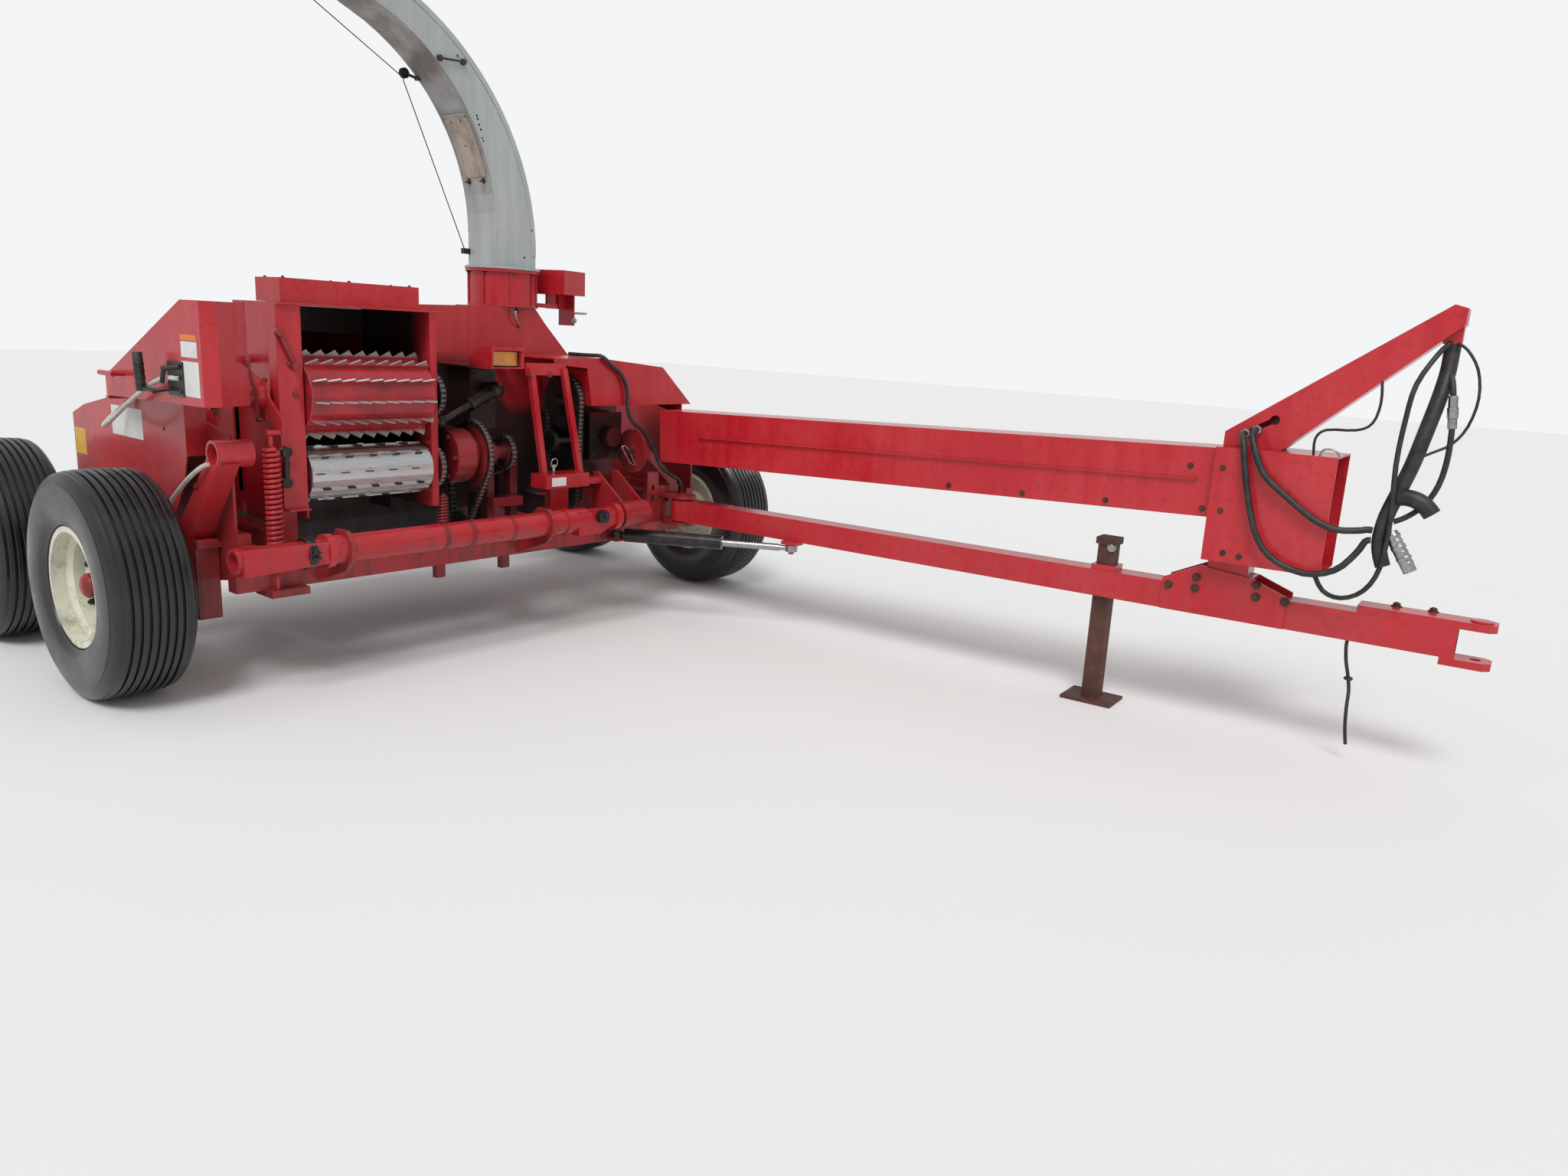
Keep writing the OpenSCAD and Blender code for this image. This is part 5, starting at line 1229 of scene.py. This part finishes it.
def makeBearing(name, x, y, z, facts):
    house, thick = facts["house"], facts["thick"]
    ring = spun(name + "Ring", [(0, -u, r) for u, r in (
        (0, 0.020), (0, house), (thick, house), (thick + 0.010, house - 0.008), (thick + 0.010, 0.026),
        (thick + 0.014, 0.026), (thick + 0.014, 0.018), (thick * 0.3, 0.018))], 36)
    ring.data.transform(Matrix.Translation(at(x, y, z)))
    ears, spots = [], []
    for side in (-1, 1):
        earX, earZ, face = x + side * facts["ear"], z + side * facts["earRise"], y - thick * 0.8
        ears.append(roundBar(name + "Ear", at(earX, y, earZ), at(earX, face, earZ), 0.020, 20, 0.002))
        spots.append((earX + side * 0.00124, face, earZ))
    place(joined(name, [ring] + ears), "frame", "darkRed")
    boltsOn(name + "Bolts", "frame", "greasy", facing(rightward, spots), 0.0075)


for name, spot in bearingFacts["spots"].items():
    makeBearing(name + "Bearing", *spot, bearingFacts)

# Short steel tabs between the lower roll's ribs; their dark greasy finish is painted shade, standing in for
# the shadows under them
tabFacts = {
    "axis": (0.708, 0, 0.752),
    "radius": 0.0925,
    "size": (0.004, 0.030, 0.0105),  # thick, along the roll, off the drum
    "ribs": 10,
    "rows": (-0.842, -0.745, -0.648, -0.551, -0.454),
}
thick, wide, tall = tabFacts["size"]
tab = barBlock("tabPattern", (-thick / 2, -wide / 2, tabFacts["radius"]),
               (thick / 2, wide / 2, tabFacts["radius"] + tall), 0.0006)
patterns.append(tab)
tabs = []
for i in range(tabFacts["ribs"]):
    turn = Matrix.Rotation(math.radians((i + 0.36) * 360 / tabFacts["ribs"]), 4, "Y")
    for row in tabFacts["rows"]:
        along = Vector((0, row + (i % 2) * 0.030 - 0.015, 0))
        tabs.append(copied(tab, Matrix.Translation(at(*tabFacts["axis"]) + along) @ turn))
place(joined("rollTabs", tabs), "lower_roll", "greasy")

# Where the loose iron sits: latch on the blower, disc pin, ladder pin, turntable motor, box on the tongue
latch = seenAt(671, 414)[0]
disc = at(0.785, 0.707, 0.770)
ladder = at(0.822, 0.196, 0.700)
motor = at(0.330, 0.690, 1.440)
liftPlate = firstHit(at(1.3, 0.300, 0.530), -ahead, ("header_lift_tube",))[0]
hitch = onTongue(tongueFacts["hitch"], 0, 0.5500)
boxTop = onTongue(2.860, -0.112, 1.040)

looseRods = {  # body, radius, steps between two bends, the spot it sits on, and its bends from there
    "blowerLatch": ("frame", 0.0045, 4, latch, [
        (0.001, -0.006, 0.030), (0.022, -0.006, 0.026), (0.026, -0.010, 0.000), (0.022, 0.006, -0.026),
        (0.010, 0.022, -0.040), (0.001, 0.024, -0.042)]),
    "discHairpin": ("frame", 0.0032, 4, disc, [(0.012, y, z) for y, z in (
        (-0.082, 0.022), (-0.070, 0.030), (-0.052, 0.018), (-0.030, -0.012), (-0.006, -0.052),
        (0.002, -0.060), (-0.010, -0.064), (-0.034, -0.050), (-0.056, -0.020), (-0.078, 0.010),
        (-0.086, 0.020), (-0.080, 0.028))]),
    "ladderPinRing": ("frame", 0.0028, 2, ladder, [
        (0.006 + 0.004 * math.cos(a), 0.017 * math.sin(a), 0.046 + 0.020 * math.cos(a))
        for a in (math.radians(k * 30) for k in range(13))]),
    "boxClip": ("tongue", 0.0035, 4, boxTop, [
        (-0.030, 0, -0.001), (-0.022, 0, 0.020), (0.004, 0.002, 0.024), (0.022, 0.004, 0.016),
        (0.030, 0.004, -0.001)]),
}
for name, (body, radius, steps, spot, bends) in looseRods.items():
    route = smoothRoute([spot + Vector(bend) for bend in bends], steps)
    place(rodAlong(name, route, radius, "steel"), body, "steel")

smallBlocks = {  # finish, the spot it sits on, low and high corner from there, rounding
    "throatSheet": ("darkRed", at(0, 0, 0), (0.300, -0.894, 1.255), (0.304, -0.381, 1.3515), 0.0005),
    "blowerLatchPlate": ("darkRed", latch, (-0.001, 0.012, 0.020), (0.010, 0.040, 0.048), 0.0015),
    "motorBracket": ("red", motor, (-0.060, -0.012, -0.110), (0.050, -0.004, 0.032), 0.0015),
}
for name, (finish, spot, low, high, edge) in smallBlocks.items():
    place(barBlock(name, spot + Vector(low), spot + Vector(high), edge), "frame", finish)

smallPins = {  # body, finish, the spot it sits on, start and end from there, radius, sides, rounding
    "discPin": ("frame", "greasy", disc, (-0.004, -0.030, 0.002), (0.020, -0.030, 0.002), 0.013, 24, 0.002),
    "discHub": ("frame", "darkRed", disc, (-0.004, 0, 0), (0.007, 0, 0), 0.028, 32, 0.003),
    "ladderPin": ("frame", "steel", ladder, (0, 0, -0.004), (0, 0, 0.040), 0.0085, 18, 0.002),
    "motorBracketRod": ("frame", "steel", motor, (0.020, -0.010, -0.050), (0.020, 0.095, -0.050),
                        0.0055, 16, 0.001),
    "liftPlateClamp": ("header_lift", "greasy", liftPlate, (-0.002, 0, 0), (0.030, 0, 0), 0.029, 24, 0.004),
    "hitchBushTop": ("tongue", "brightRed", hitch, (0, 0, 0), (0, 0, 0.006), 0.034, 32, 0.002),
}
for name, (body, finish, spot, start, end, radius, sides, edge) in smallPins.items():
    pin = roundBar(name, spot + Vector(start), spot + Vector(end), radius, sides, edge)
    place(pin, body, finish)

# Bands and clamp on the lift tube
tubeFacts = {
    "x": 0.970,
    "z": 0.515,
    "band": ((-0.010, 0.0512), (-0.010, 0.0525), (0.010, 0.0525), (0.010, 0.0512)),  # along, radius
    "bands": (-0.470, -0.155, -0.350),
    "clamp": ((-0.016, 0.0435), (-0.016, 0.0560), (-0.010, 0.0590), (0.010, 0.0590), (0.016, 0.0560),
              (0.016, 0.0435)),
    "clampAt": -1.010,
}


def tubeRing(name, profile, y):
    ring = spun(name, [(0, u, r) for u, r in profile], 40)
    ring.data.transform(Matrix.Translation(at(tubeFacts["x"], y, tubeFacts["z"])))
    return ring


bands = [tubeRing("tubeBand", tubeFacts["band"], y) for y in tubeFacts["bands"]]
place(joined("liftTubeBands", bands), "header_lift", "darkRed")
clampAt = tubeFacts["clampAt"]
clamp = [tubeRing("tubeClamp", tubeFacts["clamp"], clampAt)]
clamp += [barBlock("clampEar", at(1.018, clampAt - 0.014, z), at(1.046, clampAt + 0.014, z + 0.009), 0.002)
          for z in (0.503, 0.521)]
place(joined("liftTubeClamp", clamp), "header_lift", "greasy")
boltsOn("liftTubeClampBolt", "header_lift", "greasy", facing(upward, [(1.033, clampAt, 0.530)]), 0.0085)
boltsOn("liftPlateBolt", "header_lift", "greasy", [(liftPlate + ahead * 0.029, ahead)], 0.0130)
boltsOn("blowerLatchBolt", "frame", "steel", [(latch + Vector((0, -0.006, 0.030)), ahead)], 0.0085)
boltsOn("motorBracketBolt", "frame", "steel", [(motor + Vector((0.050, -0.008, -0.086)), ahead)], 0.0110)
boltsOn("standPinHead", "tongue", "steel", [seenAt(1452, 715)], 0.0130)

# Amber lamp: a thin dark bezel and two small screws in front
left, right, low, high = 0.033, -0.100, 1.154, 1.214
bezel = [at(0.7865, y, z) for y, z in (
    (right, low), (left, low), (left, high), (right, high), (right, low))]
place(rodAlong("lampBezel", bezel, 0.0028, "greasy", 2), "frame", "greasy")
screws = facing(ahead, [(0.786, y, (low + high) / 2) for y in (right + 0.012, left - 0.012)])
boltsOn("lampScrews", "frame", "steel", screws, 0.0034, rivetPattern)
print("small iron on")


# Linkage beside the feed opening, each end laid on what the photograph shows under it
linkFacts = {  # ends on the picture, radius and how far the rod's middle line stands off
    "armStay": ((281, 533), (313, 571), 0.005, 0.008, "greasy"),
    "armBar": ((362, 433), (384, 478), 0.009, 0.011, "darkRed"),
    "postStay": ((371, 590), (372, 630), 0.011, 0.012, "greasy"),
    "braceRod": ((318, 470), (341, 542), 0.007, 0.010, "darkRed"),
}
for name, (start, end, radius, off, finish) in linkFacts.items():
    seats = [seenAt(*start), seenAt(*end)]
    pieces = [roundBar(name + "Rod", *(root + way * off for root, way in seats), radius, 16, 0.001)]
    for root, way in seats:
        tip = root + way * (off + radius + 0.003)
        pieces.append(roundBar(name + "End", root - way * 0.001, tip, radius * 1.7, 16, 0.001))
    place(joined(name, pieces), "frame", finish)

# Rows of bolts on sides the photograph hides
castFacts = {  # finish, size, node, way of the cast and the spots it starts from
    "blowerBackBolts": ("darkRed", 0.0080, "blower_housing", ahead, [
        (0.100, 0.090 + u, 0.915 + v) for u, v in ringOf(0.335)]),
    "leftPanelBolts": ("darkRed", 0.0080, "left_side_panel", rightward, [
        (x, 1.5, z) for x, z in ((-0.38, 0.63), (-0.38, 0.85), (-0.05, 0.605), (-0.05, 0.950),
                                 (0.28, 0.605), (0.28, 0.960), (0.56, 0.720), (0.56, 0.970))]),
    "beltShieldBolts": ("darkRed", 0.0070, "cutter_belt_shield", rightward, [
        (x, 1.0, z) for x, z in ((-0.145, 0.90), (0.02, 1.065), (0.02, 0.735), (0.30, 0.715),
                                 (0.415, 0.83), (0.24, 0.98))]),
    "mainGearboxBolts": ("greasy", 0.0085, "main_gearbox", -ahead, [
        (0.9, y, z) for y in (0.585, 0.735) for z in (0.745, 0.830, 0.915)]),
    "feedGearboxBolts": ("greasy", 0.0080, "feed_gearbox", -ahead, [
        (0.9, y, z) for y in (-0.050, 0.040) for z in (0.905, 1.005, 1.105)]),
    "hitchBolts": ("greasy", 0.0120, "chassis_frame", -upward, [(-0.44, 0.34, 0.75), (-0.56, 0.34, 0.75)]),
    "hoodBolts": ("darkRed", 0.0060, "detector_hood", -upward, [
        (x, y, 1.6) for x in (0.612, 0.738) for y in (-0.930, -0.683, -0.436)]),
}
for name, (finish, size, node, way, starts) in castFacts.items():
    castOn(name, finish, size, node, way, starts)

# Caps on the tandem beams' pivots
capProfile = ((1.3020, 0.0), (1.3020, 0.0360), (1.3080, 0.0360), (1.3100, 0.0280), (1.3200, 0.0280),
              (1.3230, 0.0250), (1.3230, 0.0))  # off the machine's middle, radius
for sideName, side in (("Right", -1), ("Left", 1)):
    cap = spun("pivotCap" + sideName, [(0, side * u, r) for u, r in capProfile], 36)
    cap.data.transform(Matrix.Translation(at(0, 0, wheelFacts["axle"])))
    place(cap, "frame", "greasy")
print("hidden sides bolted")


# Floor, sky and lamps
stageFacts = {
    "floorSize": 60.0,
    "floorTone": (0.80, 0.80, 0.79),
    "skyTone": (0.90, 0.91, 0.92),
    "skyLight": 0.70,
    "sunPower": 1.7,
    "sunSoftness": 24.0,  # degrees
    "sunFrom": (0.45, -0.75, 1.15),
}


def makeStage(facts):
    deselectAll()
    bpy.ops.mesh.primitive_plane_add(size=facts["floorSize"], location=(0, 0, 0))
    floor = settle(named("paleFloor"))
    f = Finish("paleFloor")
    tone = facts["floorTone"]
    colour = f.mix(f.noise(0.6, 4).between(0.3, 0.7) * 0.2, tone, tuple(c * 0.94 for c in tone))
    floor.data.materials.append(f.surface(colour, 0.9))
    floor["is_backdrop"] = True

    sky = bpy.data.worlds.new("paleSky")
    bpy.context.scene.world = sky
    sky.use_nodes = True
    tree = sky.node_tree
    tree.nodes.clear()
    seen = tree.nodes.new("ShaderNodeLightPath")
    either = tree.nodes.new("ShaderNodeMath")
    either.operation = "MAXIMUM"
    tree.links.new(seen.outputs["Is Camera Ray"], either.inputs[0])
    tree.links.new(seen.outputs["Is Transmission Ray"], either.inputs[1])
    power = tree.nodes.new("ShaderNodeMapRange")
    power.inputs[3].default_value = facts["skyLight"]
    power.inputs[4].default_value = 1.0
    tree.links.new(either.outputs[0], power.inputs[0])
    back = tree.nodes.new("ShaderNodeBackground")
    back.inputs["Color"].default_value = (*facts["skyTone"], 1)
    tree.links.new(power.outputs[0], back.inputs["Strength"])
    end = tree.nodes.new("ShaderNodeOutputWorld")
    tree.links.new(back.outputs[0], end.inputs["Surface"])

    sunData = bpy.data.lights.new("softSun", "SUN")
    sunData.energy = facts["sunPower"]
    sunData.angle = math.radians(facts["sunSoftness"])
    sun = bpy.data.objects.new("softSun", sunData)
    sun.matrix_world = turnTo(facts["sunFrom"])
    bpy.context.scene.collection.objects.link(sun)
    bpy.context.scene.view_settings.view_transform = "Standard"


makeStage(stageFacts)
print("stage ready")

for pattern in patterns:
    remove(pattern)
low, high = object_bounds()
